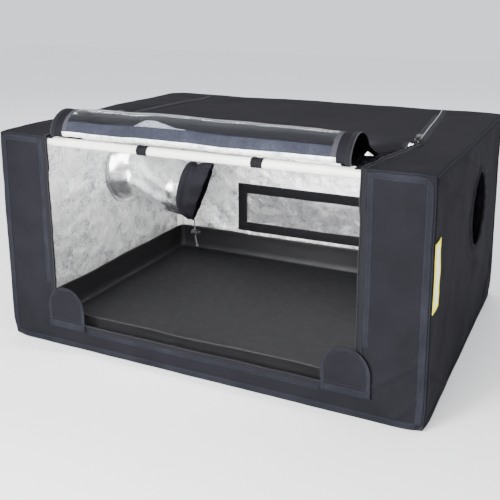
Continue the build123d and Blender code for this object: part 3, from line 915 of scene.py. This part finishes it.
# ---- zips -------------------------------------------------------------------------------------
def ribbon(name, path, across, up, width, thick, material, wave=None):
    """A flat tape along a path, with points and directions given per place."""
    def surface(side, i):
        lift = thick if abs(side) < 1 else thick * 0.55
        if wave is not None:
            lift += wave(i, side)
        return np.array(path[i]) + np.array(across[i]) * side * width / 2 + np.array(up[i]) * lift

    return cloth_sheet(name, surface, [-1.0, -0.8, 0.0, 0.8, 1.0], list(range(len(path))),
                       [material] * 3, thick=thick)


def zip_path(sign):
    """The zip line from the sill up the jamb, over the edge and back along the roof."""
    points, ups = [], []
    for b in np.arange(SILL_TOP, 396.1, 5.0):
        fade = smoothstep(SILL_TOP, SILL_TOP + 25, b) * (1 - smoothstep(372, 396, b))
        a = sign * (DOOR_HALF + jamb_wave(b) * fade)
        points.append(FRONT.surface(a, b))
        ups.append((0, -1, 0))
    for angle in (30, 60):
        r = math.radians(angle)
        points.append(np.array((sign * DOOR_HALF, -HALF_D + EDGE_R * (1 - math.cos(r)),
                                HEIGHT - EDGE_R * (1 - math.sin(r)))))
        ups.append((0, -math.cos(r), math.sin(r)))
    for y in np.arange(-HALF_D + EDGE_R, 286.1, 5.0):
        if y < HINGE_Y:
            points.append(strip_point(sign, 0.0, y))
        else:
            points.append(np.array((sign * zip_x(y), y, roof_height(zip_x(y), y))))
        ups.append((0, 0, 1))
    return points, ups


def side_directions(points, ups):
    """The direction across a path at each point, and unit normals."""
    p = np.array(points, float)
    along = np.gradient(p, axis=0)
    across = np.cross(along, np.array(ups, float))
    across /= np.linalg.norm(across, axis=1, keepdims=True)
    return across


JAMB_PLACES = 66        # places of a zip path that are still on the jamb


def tooth_row(path, ups, length):
    """Zip teeth, three to each step of a path."""
    teeth = Beads()
    for place, following, up in zip(path, path[1:], ups):
        step = following - place
        along = step / max(np.linalg.norm(step), 1e-6)
        up = np.array(up, float)
        for k in range(3):
            centre = place + step * (k + 0.5) / 3 + up * 1.7
            teeth.add(centre, np.cross(up, along), along, up, length, 1.2, 1.3)
    return teeth


def side_zip(side, sign):
    """One side's zip: split from the sill to the slider, shut behind it."""
    points, ups = zip_path(sign)
    across = side_directions(points, ups)
    outward = across * np.sign(across[:, :1]) * sign
    split = next(i for i, p in enumerate(points) if p[1] > HINGE_Y + 4)
    rear = slice(split, len(points))
    front = slice(0, split + 1)
    shifted = [p + o * 5.0 for p, o in zip(points[front], outward[front])]
    open_tape = ribbon(f"{side}_zip_tape_split", shifted, across[front], ups[front], 11.0, 1.0, TAPE)
    shut_tape = ribbon(f"{side}_zip_tape_shut", points[rear], across[rear], ups[rear], 22.0, 1.0, TAPE)
    finish_piece(open_tape, "enclosure", "zip_tape", f"{side}_zip_tape")
    finish_piece(shut_tape, "enclosure", "zip_tape")
    open_path = [p + o * 0.8 for p, o in zip(points[front], outward[front])]
    open_coil = tooth_row(open_path, ups[front], 2.4)
    shut_coil = tooth_row(points[rear], ups[rear], 2.8)
    finish_piece(open_coil.build(f"{side}_zip_coil", COIL), "enclosure", "zip_tape")
    # The shut coil is painted with a light grey highlight on the right and a fainter grey one on the left.
    shut_highlight_look = COIL_PAINTED_HIGHLIGHT if sign > 0 else COIL_PAINTED_FAINT_HIGHLIGHT
    finish_piece(shut_coil.build(f"{side}_zip_coil_shut", shut_highlight_look), "enclosure", "zip_tape")
    for k in (7.0, -7.0):
        row = [p + o * k + np.array(u) for p, o, u in zip(points[rear], outward[rear], ups[rear])]
        stitches("enclosure", row, (0, 0, 1), lift=0.9)
    jamb_row = [p + o * 9.0 for p, o in zip(points[:JAMB_PLACES], outward[:JAMB_PLACES])]
    stitches("enclosure", jamb_row, (0, -1, 0), lift=1.2)


def sill_zip():
    """The zip half along the sill: its tape, its teeth and a row of stitches."""
    path = [FRONT.surface(a, SILL_TOP - 4.5) for a in np.arange(-DOOR_HALF, DOOR_HALF + 0.1, 5.0)]
    ups = [(0, -1, 0)] * len(path)
    across = side_directions(path, ups)
    tape = ribbon("sill_tape", path, across, ups, 10.0, 1.1, TAPE)
    finish_piece(tape, "enclosure", "zip_tape", "sill_zip_tape")
    teeth = Beads()
    for a, b in zip(path, path[1:]):
        for k in range(3):
            centre = a + (b - a) * (k + 0.5) / 3 + np.array((0, -1.9, 4.2))
            teeth.add(centre, (0, 0, 1), (1, 0, 0), (0, -1, 0), 2.8, 1.1, 1.3)
    finish_piece(teeth.build("sill_zip_coil", COIL), "enclosure", "zip_tape")
    stitches("enclosure", [p + np.array((0, 0, -1.5)) for p in path], (0, -1, 0), lift=1.6)


def door_zip():
    """The zip halves sewn along the flap's sides, up to the roll."""
    ends = Beads()
    for sign in (-1, 1):
        ts = np.arange(HINGE_AT + 0.2, FOLD_AT, 0.2)
        points = [np.array(door_surface(sign, t)) for t in ts]
        ups = []
        for t in ts:
            p, q = spline(DOOR_PATH, t - 0.05), spline(DOOR_PATH, t + 0.05)
            tangent = (q - p) / np.linalg.norm(q - p)
            ups.append((0, tangent[1], -tangent[0]))
        shifted = [p - np.array((sign * 4.0, 0, 0)) for p in points]
        across = side_directions(shifted, ups)
        tape = ribbon("door_zip_tape_" + ("left" if sign < 0 else "right"), shifted, across, ups,
                      10.0, 0.9, TAPE)
        if sign < 0:
            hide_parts("door_zip_tape")
        blended(tape)
        for a, b, up in zip(points, points[1:], ups):
            along = b - a
            for k in range(4):
                centre = a + along * (k + 0.5) / 4 + np.array(up) * 0.8
                ends.add(centre, (1, 0, 0), along / np.linalg.norm(along), up, 2.6, 1.0, 1.2)
    blended(ends.build("door_zip_coil", COIL))


# ---- seams ------------------------------------------------------------------------------------
def seam_band(name, panel, path, width, height=0.9, material=SEAM):
    """A bound seam: a raised band sewn down with two rows of stitches."""
    points = panel.strip(path)
    ups = [panel.normal] * len(points)
    across = side_directions(points, ups)
    band = ribbon(name, points, across, ups, width, height, material,
                  wave=lambda i, side: 0.35 * ripple(i * 3.0, side * 4, 0, 14, 61))
    finish_piece(band, "enclosure", "cover_fabric")
    for side in (-0.32, 0.32):
        stitches("enclosure", [p + a * side * width for p, a in zip(points, across)],
                 panel.normal, lift=height + 0.35)


def seams():
    """The bound seams of the front, the walls and the rear."""
    inset = 9.0
    top, turn = HEIGHT - inset, 11.0
    for side, sign in (("left", -1), ("right", 1)):
        outer, inner = HALF_W - inset, DOOR_HALF + 15
        path = line((sign * (inner + 5), top), (sign * (outer - turn), top))
        for k in range(1, 6):
            t = math.radians(15 * k)
            path.append((sign * (outer - turn + turn * math.sin(t)), top - turn + turn * math.cos(t)))
        path += line((sign * outer, top - turn), (sign * outer, 12))
        seam_band(f"{side}_jamb_outer_seam", FRONT, path, 11.0)
        above_tab = line((sign * inner, 122), (sign * inner, HEIGHT - 5))
        seam_band(f"{side}_jamb_zip_seam", FRONT, above_tab, 10.0, height=0.6)
    between_tabs = line((-222, SILL_TOP - 13), (231, SILL_TOP - 13))
    seam_band("sill_seam", FRONT, between_tabs, 10.0, height=0.7)
    seam_band("front_base_seam", FRONT, line((-HALF_W + 12, 8), (HALF_W - 12, 8)), 10.0,
              height=0.6)
    for side, panel in (("left", LEFT), ("right", RIGHT)):
        for b in (8.0, HEIGHT - 9.0):
            name = f"{side}_wall_{'base' if b < 50 else 'top'}_seam"
            seam_band(name, panel, line((-HALF_D + 10, b), (HALF_D - 10, b)), 10.0,
                      height=0.5, material=OXFORD)
        for a in (-HALF_D + 9, HALF_D - 9):
            name = f"{side}_wall_{'front' if a < 0 else 'rear'}_seam"
            seam_band(name, panel, line((a, 12), (a, HEIGHT - 14)), 10.0, height=0.5,
                      material=OXFORD)
    for b in (8.0, HEIGHT - 9.0):
        seam_band(f"rear_{'base' if b < 50 else 'top'}_seam", REAR,
                  line((-HALF_W + 10, b), (HALF_W - 10, b)), 10.0, height=0.5,
                  material=OXFORD)
    for side, a in (("left", -HALF_W + 9), ("right", HALF_W - 9)):
        seam_band(f"rear_{side}_seam", REAR, line((a, 12), (a, HEIGHT - 14)), 10.0,
                  height=0.5, material=OXFORD)


def roof_edge_stitches():
    """The pale thread that closes the roof to the side walls."""
    thread = Beads()
    for sign, panel in ((-1, LEFT), (1, RIGHT)):
        row = [panel.surface(a, HEIGHT - 3.2) for a in np.arange(-HALF_D + 6, HALF_D - 5, 6.0)]
        thread.run(row, panel.normal, 4.6, 3.6, 0.8, 0.5, lift=0.5)
    finish_piece(thread.build("roof_edge_stitches", THREAD_PALE), "enclosure", "cover_fabric")


def edge_piping():
    """The turned seam along each box edge: a thin uneven bead of cloth."""
    z0, z1 = SEAM_AT, HEIGHT - SEAM_AT
    x, y = HALF_W - SEAM_AT, HALF_D - SEAM_AT
    runs = []
    for sx in (-1, 1):
        for sy in (-1, 1):
            runs.append(((sx * x, sy * y, z0), (sx * x, sy * y, z1)))
        for z in (z0, z1):
            runs.append(((sx * x, -y, z), (sx * x, y, z)))
    runs += [((-x, y, z0), (x, y, z0)), ((-x, y, z1), (x, y, z1)), ((-x, -y, z0), (x, -y, z0))]
    runs += [((-x, -y, z1), (-DOOR_HALF, -y, z1)), ((DOOR_HALF, -y, z1), (x, -y, z1))]
    verts, faces = [], []
    sides = 8
    for start, end in runs:
        points = np.array(line(start, end, 6.0))
        along = (points[-1] - points[0]) / np.linalg.norm(points[-1] - points[0])
        a = np.cross(along, (0.3, 0.5, 0.8))
        a /= np.linalg.norm(a)
        b = np.cross(along, a)
        base = len(verts)
        for p in points:
            r = 1.15 + 0.3 * ripple(*p, 22, 71)
            wob = 0.35 * ripple(*p, 40, 73)
            for k in range(sides):
                t = 2 * math.pi * k / sides
                verts.append(p + a * (math.cos(t) * r + wob) + b * (math.sin(t) * r + wob))
        for i in range(len(points) - 1):
            for k in range(sides):
                m = (k + 1) % sides
                faces.append((base + i * sides + k, base + i * sides + m,
                              base + (i + 1) * sides + m, base + (i + 1) * sides + k))
        faces.append(tuple(base + k for k in range(sides))[::-1])
        faces.append(tuple(base + (len(points) - 1) * sides + k for k in range(sides)))
    finish_piece(make_object("edge_piping", verts, faces, [SEAM]), "enclosure", "cover_fabric")


# ---- duct ports, sleeves and drawcords --------------------------------------------------------
# Each section: x, y, z of its centre, lean in degrees, half height and half width.
SLEEVE_SECTIONS = [(-399.0, 78.0, 252.0, 0.0, 70.0, 70.0), (-386.0, 84.0, 251.0, 0.0, 68.0, 63.0),
                   (-366.0, 97.0, 248.0, 2.0, 65.0, 55.0), (-335.0, 97.0, 242.0, 3.0, 65.0, 55.0),
                   (-300.0, 90.0, 232.0, 5.0, 64.0, 52.0), (-265.0, 83.0, 223.0, 7.5, 62.0, 46.0),
                   (-232.5, 78.0, 216.0, 9.8, 60.5, 40.0)]
CUFF_SECTIONS = [(-236.5, 78.0, 216.0, 9.8, 60.0, 40.5), (-222.0, 78.0, 215.0, 13.0, 63.0, 34.0),
                 (-206.0, 78.0, 215.5, 17.0, 67.0, 23.0), (-191.5, 78.0, 216.0, 21.6, 70.5, 12.0)]


def section_point(sections, t, angle, swell):
    """A point on the sleeve: t counts the sections, angle is 0 at the top."""
    x, y, z, lean, high, wide = spline(sections, t)
    r = math.radians(lean)
    up, out = math.cos(angle) * (high + swell), math.sin(angle) * (wide + swell)
    return np.array((x + up * math.sin(r), y + out, z + up * math.cos(r)))


def sleeve(side, sign):
    """The foil sleeve and the gathered black cuff of one side."""
    angles = [2 * math.pi * k / 120 for k in range(120)]

    def tuck(angle):
        return 25.0 * max(0.0, -math.cos(angle)) ** 2

    def foil(angle, t):
        slack = smoothstep(0.6, 1.8, t) * (1 - 0.85 * smoothstep(5.1, 5.7, t))
        flange = 9.0 * (1 - smoothstep(0.0, 0.12, t))
        folds = 2.2 * math.sin(7 * angle + 1.3 * math.sin(3 * angle) + 0.8 * t)
        folds += 3.4 * ripple(math.cos(angle) * 60, math.sin(angle) * 60, t * 40, 34, 81)
        folds += 1.2 * ripple(math.cos(angle) * 60, math.sin(angle) * 60, t * 40, 14, 83)
        p = section_point(SLEEVE_SECTIONS, t, angle, 1.6 + flange + slack * folds)
        p[0] += 5.0 * (1 - smoothstep(0.02, 0.25, t)) + tuck(angle) * smoothstep(3.5, 6.0, t)
        return (-sign * p[0], p[1], p[2])

    def cuff(angle, t):
        tight = smoothstep(0.2, 3.0, t)
        folds = (0.7 + 1.1 * tight) * math.sin(13 * angle + 2.0 * math.sin(2 * angle))
        folds += 1.5 * ripple(math.cos(angle) * 60, math.sin(angle) * 60, t * 20, 12, 85)
        hem = 3.6 * smoothstep(0.0, 0.12, t) * (1 - smoothstep(0.62, 0.8, t))
        hem -= 3.0 * math.exp(-((t - 1.1) / 0.3) ** 2)
        p = section_point(CUFF_SECTIONS, t, angle, 2.0 + hem + folds * (0.25 + 0.75 * tight))
        p[0] += tuck(angle) * (1 - t / 3) + 3.0 * math.sin(angle) ** 2 * (1 - t / 3) - 3.0
        p[0] -= (18.0 if sign > 0 else 0.0) * max(0.0, math.cos(angle)) * t / 3
        return (-sign * p[0], p[1], p[2])

    order = angles[::-1] if sign < 0 else angles
    for name, surface, last, outside, slot, node, flat in (
            ("sleeve_foil", foil, 6.0, LINING_SOFT, "silver_lining", "duct_sleeve", (0.44, 0.17)),
            ("cuff_cloth", cuff, 3.0, OXFORD, "cover_fabric", "sleeve_cuff", (0.4, 0.05))):
        obj = cloth_sheet(f"{side}_{name}", surface, order, ticks(0.0, last, 0.1),
                          [outside, OXFORD_DARK, OXFORD_DARK], thick=1.0, closed_u=True)
        finish_piece(obj, "enclosure", slot, f"{side}_{node}")


def port_ruffle(side, sign, panel):
    """The elastic hem round a port, puckered and a little out of round."""
    def surface(angle, t):
        pucker = 1.1 * math.sin(17 * angle + 2 * math.sin(3 * angle)) + 1.3 * ripple(
            math.cos(angle) * 50, math.sin(angle) * 50, 0, 13, 91)
        point = 9.0 * math.exp(-((angle - math.pi) / 0.16) ** 2) if sign > 0 else 0.0
        base = PORT_R + 0.5 * pucker
        profile = [(base - 1.5, -2.6), (base - 2.2, -1.0), (base - 0.5, 1.3), (base + 3.5, 1.9),
                   (base + 8.0 + 0.8 * point, 1.2), (base + 12.5 + point, 0.35)]
        r, lift = spline(profile, t)
        r += 0.6 * point * (1 - t / 5)
        a, b = PORT_Y + r * math.cos(angle), PORT_Z + r * math.sin(angle) * (1.0 + 0.02 * math.sin(angle))
        lift += 0.5 * pucker * smoothstep(1, 3, t) * (1 - smoothstep(4, 5, t))
        return panel.surface(a, b) + np.array(panel.normal) * lift

    angles = [2 * math.pi * k / 160 for k in range(160)]
    order = angles[::-1] if sign > 0 else angles
    obj = cloth_sheet(f"{side}_port_hem", surface, order, ticks(0.0, 5.0, 0.25),
                      [OXFORD, OXFORD_DARK, OXFORD_DARK], thick=0.8, closed_u=True)
    finish_piece(obj, "enclosure", "cover_fabric")
    ring = [surface(a, 3.3) for a in angles + [angles[0]]]
    stitches("enclosure", ring, panel.normal, lift=0.4)


def cord(side, sign):
    """The drawcord's hanging tail and its knot."""
    curve = bpy.data.curves.new(f"{side}_drawcord_line", "CURVE")
    curve.dimensions = "3D"
    route = curve.splines.new("NURBS")
    route.points.add(len(CORD_ROUTE) - 1)
    for point, (x, y, z) in zip(route.points, CORD_ROUTE):
        point.co = (-sign * x * MM, y * MM, z * MM, 1)
    route.order_u = 3
    route.use_endpoint_u = True
    route.resolution_u = 24
    curve.bevel_depth = 1.5 * MM
    curve.bevel_resolution = 6
    curve.use_fill_caps = True
    obj = bpy.data.objects.new(f"{side}_drawcord_line", curve)
    bpy.context.scene.collection.objects.link(obj)
    curve.materials.append(CORD)
    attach(obj, "enclosure")
    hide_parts(f"{side}_drawcord")
    knot = cord_knot(side, sign)


def cord_knot(side, sign):
    """An overhand knot: a trefoil of the same cord."""
    last, before = np.array(CORD_ROUTE[-1]), np.array(CORD_ROUTE[-2])
    along = (last - before) / np.linalg.norm(last - before)
    centre = last + along * 2.6
    a = np.cross(along, (0, 1, 0))
    a /= np.linalg.norm(a)
    b = np.cross(along, a)
    turns, sides, r = 72, 8, 1.25
    path = []
    for i in range(turns):
        t = 2 * math.pi * i / turns
        x, y, z = math.sin(t) + 2 * math.sin(2 * t), math.cos(t) - 2 * math.cos(2 * t), -math.sin(3 * t)
        path.append(centre + a * x * 0.8 + b * y * 0.8 + along * z * 1.0)
    path = np.array(path)
    tangent = np.roll(path, -1, axis=0) - np.roll(path, 1, axis=0)
    verts, faces = [], []
    for p, d in zip(path, tangent):
        d /= np.linalg.norm(d)
        u = np.cross(d, along)
        u /= max(np.linalg.norm(u), 1e-6)
        v = np.cross(d, u)
        for k in range(sides):
            t = 2 * math.pi * k / sides
            q = p + (u * math.cos(t) + v * math.sin(t)) * r
            verts.append((-sign * q[0], q[1], q[2]))
    for i in range(turns):
        j = (i + 1) % turns
        for k in range(sides):
            m = (k + 1) % sides
            faces.append((i * sides + k, i * sides + m, j * sides + m, j * sides + k))
    if sign > 0:
        faces = [f[::-1] for f in faces]
    knot = make_object(f"{side}_cord_end_knot", verts, faces, [CORD], stiff=True)
    return finish_piece(knot, "enclosure", "cord", f"{side}_drawcord_knot")


# ---- rear vent --------------------------------------------------------------------------------
def vent_mesh():
    """Insect mesh of crossing strands."""
    y = HALF_D - CLOTH - 2.4
    strands = Beads()
    for x in np.arange(-VENT_HALF - 3, VENT_HALF + 3.1, 2.2):
        strands.add((x, y, (VENT_LOW + VENT_HIGH) / 2), (0, 0, 1), (1, 0, 0), (0, 1, 0),
                    (VENT_HIGH - VENT_LOW) * 1.35, 0.65, 0.45)
    for z in np.arange(VENT_LOW - 3, VENT_HIGH + 3.1, 2.2):
        strands.add((0, y + 0.5, z), (1, 0, 0), (0, 0, 1), (0, 1, 0), VENT_HALF * 2 * 1.45, 0.65, 0.45)
    keep = strands.build("vent_mesh_strands", MESH)
    for v in keep.data.vertices:
        v.co.x = max(-(VENT_HALF + 4) * MM, min((VENT_HALF + 4) * MM, v.co.x))
        v.co.z = max((VENT_LOW - 4) * MM, min((VENT_HIGH + 4) * MM, v.co.z))
    finish_piece(keep, "enclosure", "vent_mesh", "vent_mesh")


def vent_tapes():
    """The hook-and-loop frame round the mesh, inside."""
    low, high, w, tape = VENT_LOW - 12, VENT_HIGH + 12, VENT_HALF + 12, 24.0
    y = HALF_D - CLOTH - 2.8
    corners = [(-w, low), (w, low), (w, high), (-w, high)]
    for i, name in enumerate(("base", "right", "top", "left")):
        (x0, z0), (x1, z1) = corners[i], corners[(i + 1) % 4]
        dx, dz = np.sign(x1 - x0) * 12, np.sign(z1 - z0) * 12
        path = [np.array((x, y, z)) for x, z in line((x0 - dx, z0 - dz), (x1 + dx, z1 + dz), 6.0)]
        ups = [(0, -1, 0)] * len(path)
        across = side_directions(path, ups)
        piece = ribbon(f"vent_tape_{name}", path, across, ups, tape, 1.2 + 0.12 * i, HOOK,
                       wave=lambda i, side: 0.3 * ripple(i * 3.0, side * 6, 0, 9, 95))
        finish_piece(piece, "enclosure", "hook_loop")
        if name == "base":
            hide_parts("vent_frame")
        for side in (-0.4, 0.4):
            row = [p + a * side * tape for p, a in zip(path, across)]
            stitches("enclosure", row, (0, -1, 0), lift=1.9)


def vent_cover():
    """The outer flap over the vent, its lower corners rounded."""
    turn_x, turn_z = COVER_HALF - COVER_CUT, COVER_LOW + COVER_CUT

    def cover(x, z):
        edge = min(COVER_HALF - abs(x), z - COVER_LOW, COVER_HIGH - z)
        puff = smoothstep(0, 20, edge) * (1.6 + 1.2 * ripple(x, 0, z, 60, 97)) + 0.5
        return (x, HALF_D + COVER_LIFT + puff, z)

    def corner(x, z):
        past = (abs(x) - turn_x, z - turn_z)
        return abs(x) > turn_x and z < turn_z and math.hypot(*past) > COVER_CUT

    xs = ticks(-COVER_HALF, COVER_HALF, 7.0, (-turn_x, turn_x))
    zs = ticks(COVER_LOW, COVER_HIGH, 6.0, (turn_z,))
    flap = cloth_sheet("vent_cover_cloth", lambda z, x: cover(x, z), zs, xs, [OXFORD, LINING, OXFORD],
                       thick=1.0, hole=lambda z, x: corner(x, z))
    finish_piece(flap, "vent_cover", "cover_fabric", "vent_cover")
    for path in (line((-218, 64), (218, 64)), line((-218, 64), (-218, 182)), line((218, 64), (218, 182)),
                 line((-218, 182), (218, 182))):
        stitches("vent_cover", [np.array(cover(x, z)) for x, z in path], (0, 1, 0), lift=0.3)


# ---- small front pieces -----------------------------------------------------------------------
def corner_tab(side, x0, x1):
    """A half-round tab with a bound edge, stitched to the sill along its base."""
    cx, half, low, high = (x0 + x1) / 2, (x1 - x0) / 2, 39.2, 118.0
    spring = high - half

    def half_width(z):
        return half if z < spring else math.sqrt(max(0.01, half ** 2 - (z - spring) ** 2))

    def height(v):
        if v < 0.4:
            return low + (spring - low) * v / 0.4
        return spring + half * math.sin((v - 0.4) / 0.6 * math.pi / 2)

    def surface(u, v):
        z = height(v)
        x = cx + u * half_width(z)
        edge = min(half_width(z) * (1 - abs(u)), high - z)
        puff = 1.5 * smoothstep(0, 16, edge) + 0.6 * ripple(x, 0, z, 26, 101)
        bind = 0.9 * (1 - smoothstep(5.0, 6.2, edge))
        bind += 0.9 * (1 - smoothstep(low + 9, low + 10.5, z))
        lean = 2.0 * smoothstep(60, high, z)
        return (x, -HALF_D - 3.0 - puff - bind - lean, z)

    rim_lines = [-0.97, -0.93, -0.87, 0.87, 0.93, 0.97]
    us = sorted({round(u, 4) for u in [*np.linspace(-1, 1, 25), *rim_lines]})
    vs = sorted({round(v, 4) for v in [*np.linspace(0, 1, 26), 0.92, 0.94, 0.985]})

    def region(u, v):
        edge = min(half_width(height(v)) * (1 - abs(u)), high - height(v))
        return (2 if edge < 5.5 or height(v) < low + 10 else 0), 1

    tab = cloth_sheet(f"{side}_tab_cloth", surface, us, vs, [OXFORD, OXFORD, SEAM], thick=1.2,
                      region=region)
    finish_piece(tab, f"{side}_corner_tab", "cover_fabric", f"{side}_corner_tab")
    outline = []
    for z in np.linspace(low + 2, spring, 12):
        outline.append((cx - half + 6, z))
    for k in range(1, 24):
        t = math.pi * k / 24
        outline.append((cx - (half - 6) * math.cos(t), spring + (half - 6) * math.sin(t)))
    for z in np.linspace(spring, low + 2, 12):
        outline.append((cx + half - 6, z))
    rows = []
    for x, z in outline:
        if z < spring:
            v = 0.4 * (z - low) / (spring - low)
        else:
            v = 0.4 + 0.6 * math.asin(min(1.0, (z - spring) / half)) * 2 / math.pi
        rows.append(np.array(surface((x - cx) / half_width(z), v)))
    stitches(f"{side}_corner_tab", rows, (0, -1, 0), lift=0.5)
    for v in (0.06, 0.17):
        base = [np.array(surface(u, v)) for u in np.linspace(-0.95, 0.95, 20)]
        stitches(f"{side}_corner_tab", base, (0, -1, 0), lift=0.35)


def pole_strap(side, x):
    """A strap wound once and a bit round the front tube, its end lying over its start."""
    start, turn = math.radians(120), math.radians(452)

    def surface(w, t):
        angle = start + turn * t
        r = 8.5 + 1.25 * smoothstep(0.72, 0.84, t) + 0.25 * ripple(w * 12, t * 30, 0, 9, 111)
        pull = 10.0 - 1.2 * smoothstep(0.9, 1.0, t)
        slant = 1.2 * math.sin(angle)
        return (x + w * pull + slant, TUBE_Y + r * math.cos(angle), TUBE_Z + r * math.sin(angle))

    ws, ts = list(np.linspace(-1, 1, 9)), list(np.linspace(0, 1, 90))
    strap = cloth_sheet(f"{side}_strap_tape", surface, ws, ts, [HOOK, HOOK, HOOK], thick=-1.0,
                        stiff=True)
    finish_piece(strap, f"{side}_pole_strap", "hook_loop", f"{side}_pole_strap")
    thread = stitching.setdefault(f"{side}_pole_strap", Beads())
    for w in (-0.7, 0.7):
        run = [np.array(surface(w, t)) for t in np.linspace(0.62, 0.98, 20)]
        centre = np.array((x, TUBE_Y, TUBE_Z))
        for p, q in zip(run, run[1:]):
            up = p - centre
            up[0] = 0
            up /= np.linalg.norm(up)
            thread.run([p, q], up, 1.2, 1.0, 0.7, 0.4, lift=1.2)


def side_label():
    """The blank label, sewn in at the front edge and a little wavy."""
    def surface(a, b):
        edge = smoothstep(-300, -262, a)
        wave = edge * (1.2 + 1.0 * ripple(0, a * 0.6, b, 26, 121))
        return RIGHT.surface(a, b) + np.array((1.4 + wave, 0, 0))

    depths = ticks(-294.0, -255.0, 3.0, (-285, -264))
    heights = ticks(190.0, 297.0, 4.0, (197, 290))

    def region(a, b):
        return (0, 0) if -285 < a < -264 and 197 < b < 290 else (2, 2)

    tag = cloth_sheet("label_cloth", surface, depths, heights, [LABEL_WHITE, LABEL_WHITE, LABEL_YELLOW],
                      thick=0.5, region=region)
    finish_piece(tag, "enclosure", "label", "label")


# ---- tray -------------------------------------------------------------------------------------
def tray_outline():
    """The tray's outline with rounded corners: (x, y, outward x, outward y) about every 9 mm."""
    half_x, half_y, corner = 378.0, 278.0, 14.0
    ring = []
    for sx, sy, first in ((1, 1, 0), (-1, 1, 90), (-1, -1, 180), (1, -1, 270)):
        for k in range(7):
            t = math.radians(first + 15 * k)
            nx, ny = math.cos(t), math.sin(t)
            ring.append((sx * (half_x - corner) + corner * nx, sy * (half_y - corner) + corner * ny,
                         nx, ny))
    dense = []
    for a, b in zip(ring, ring[1:] + ring[:1]):
        length = math.hypot(b[0] - a[0], b[1] - a[1])
        count = max(1, int(length / 9))
        for i in range(count):
            f = i / count
            dense.append(tuple(a[j] + (b[j] - a[j]) * f for j in range(4)))
    return dense


def tray():
    """The lift-out tray: wavy walls with a rolled top edge and a slightly buckled floor."""
    low, high = 2.2, 61.5
    dense = tray_outline()
    profile = [(-3.0, low), (0.0, low + 3), (0.2, 20), (0.4, 40), (0.2, high - 6), (1.0, high - 3.5),
               (1.2, high - 1.2), (0.2, high), (-1.4, high + 0.1), (-2.6, high - 1.0), (-2.6, high - 3.5),
               (-2.0, high - 6), (-1.8, 40), (-1.8, 20), (-2.2, low + 6), (-6.0, low + 1.6)]
    verts, faces = [], []
    for x, y, nx, ny in dense:
        for out, z in profile:
            rise = smoothstep(8, 50, z)
            bend = rise * (1.6 * ripple(x, y, 0, 120, 131) - 0.9 + 0.5 * ripple(x, y, z, 40, 133))
            lift = rise * (1.0 * ripple(x, y, 0, 90, 135) - 0.6)
            verts.append((x + nx * (out + bend), y + ny * (out + bend), z + lift))
    n, m = len(dense), len(profile)
    for i in range(n):
        j = (i + 1) % n
        for k in range(m - 1):
            faces.append((i * m + k, j * m + k, j * m + k + 1, i * m + k + 1))
    for column, z, flip in ((m - 1, low + 1.6, True), (0, low, False)):
        previous = [i * m + column for i in range(n)]
        for share in (0.97, 0.9, 0.78, 0.6, 0.4, 0.2, 0.06):
            current = []
            for i in range(n):
                x, y = dense[i][0] * share, dense[i][1] * share
                current.append(len(verts))
                verts.append((x, y, z + (0.5 * ripple(x, y, 0, 90, 137) + 0.3 if flip else 0.0)))
            for i in range(n):
                j = (i + 1) % n
                quad = (previous[i], previous[j], current[j], current[i])
                faces.append(quad if flip else quad[::-1])
            previous = current
        faces.append(tuple(previous) if flip else tuple(previous[::-1]))
    obj = make_object("tray_shell", verts, faces, [TRAY])
    finish_piece(obj, "tray", "tray_plastic", "tray")


# ---- CAD parts that stay ----------------------------------------------------------------------
def dress_cad_parts():
    """Materials for the tubes, connectors, sliders, pulls and cord locks."""
    for name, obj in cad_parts.items():
        if name.endswith("_tube") or name.endswith("_post"):
            material = POWDER
        elif name.endswith("_connector"):
            material = NYLON
        elif name.endswith("_zip_slider") or name.endswith("_zip_pull"):
            material = ENAMEL
        elif name.endswith("_cord_lock") or name.endswith("_lock_plunger"):
            material = ACETAL
        else:
            continue
        for slot in obj.material_slots:
            slot.material = material


# ---- the tent ---------------------------------------------------------------------------------
look_from()
for side, sign in (("left", -1), ("right", 1)):
    cord(side, sign)
studio()
front_cloth()
rear_cloth()
floor_cloth()
for side, sign, panel in (("left", -1, LEFT), ("right", 1, RIGHT)):
    side_cloth(side, panel)
    roof_strip(side, sign)
    side_zip(side, sign)
    sleeve(side, sign)
    port_ruffle(side, sign, panel)
door_cloth()
door_film()
door_patches()
door_zip()
sill_zip()
seams()
edge_piping()
roof_edge_stitches()
vent_mesh()
vent_tapes()
vent_cover()
corner_tab("left", -306.0, -225.0)
corner_tab("right", 234.0, 316.0)
pole_strap("left", -92.0)
pole_strap("right", 120.0)
side_label()
tray()
for body, beads in stitching.items():
    finish_piece(beads.build(f"stitches_{body}", THREAD, "strap" in body), body, "cover_fabric")
dress_cad_parts()
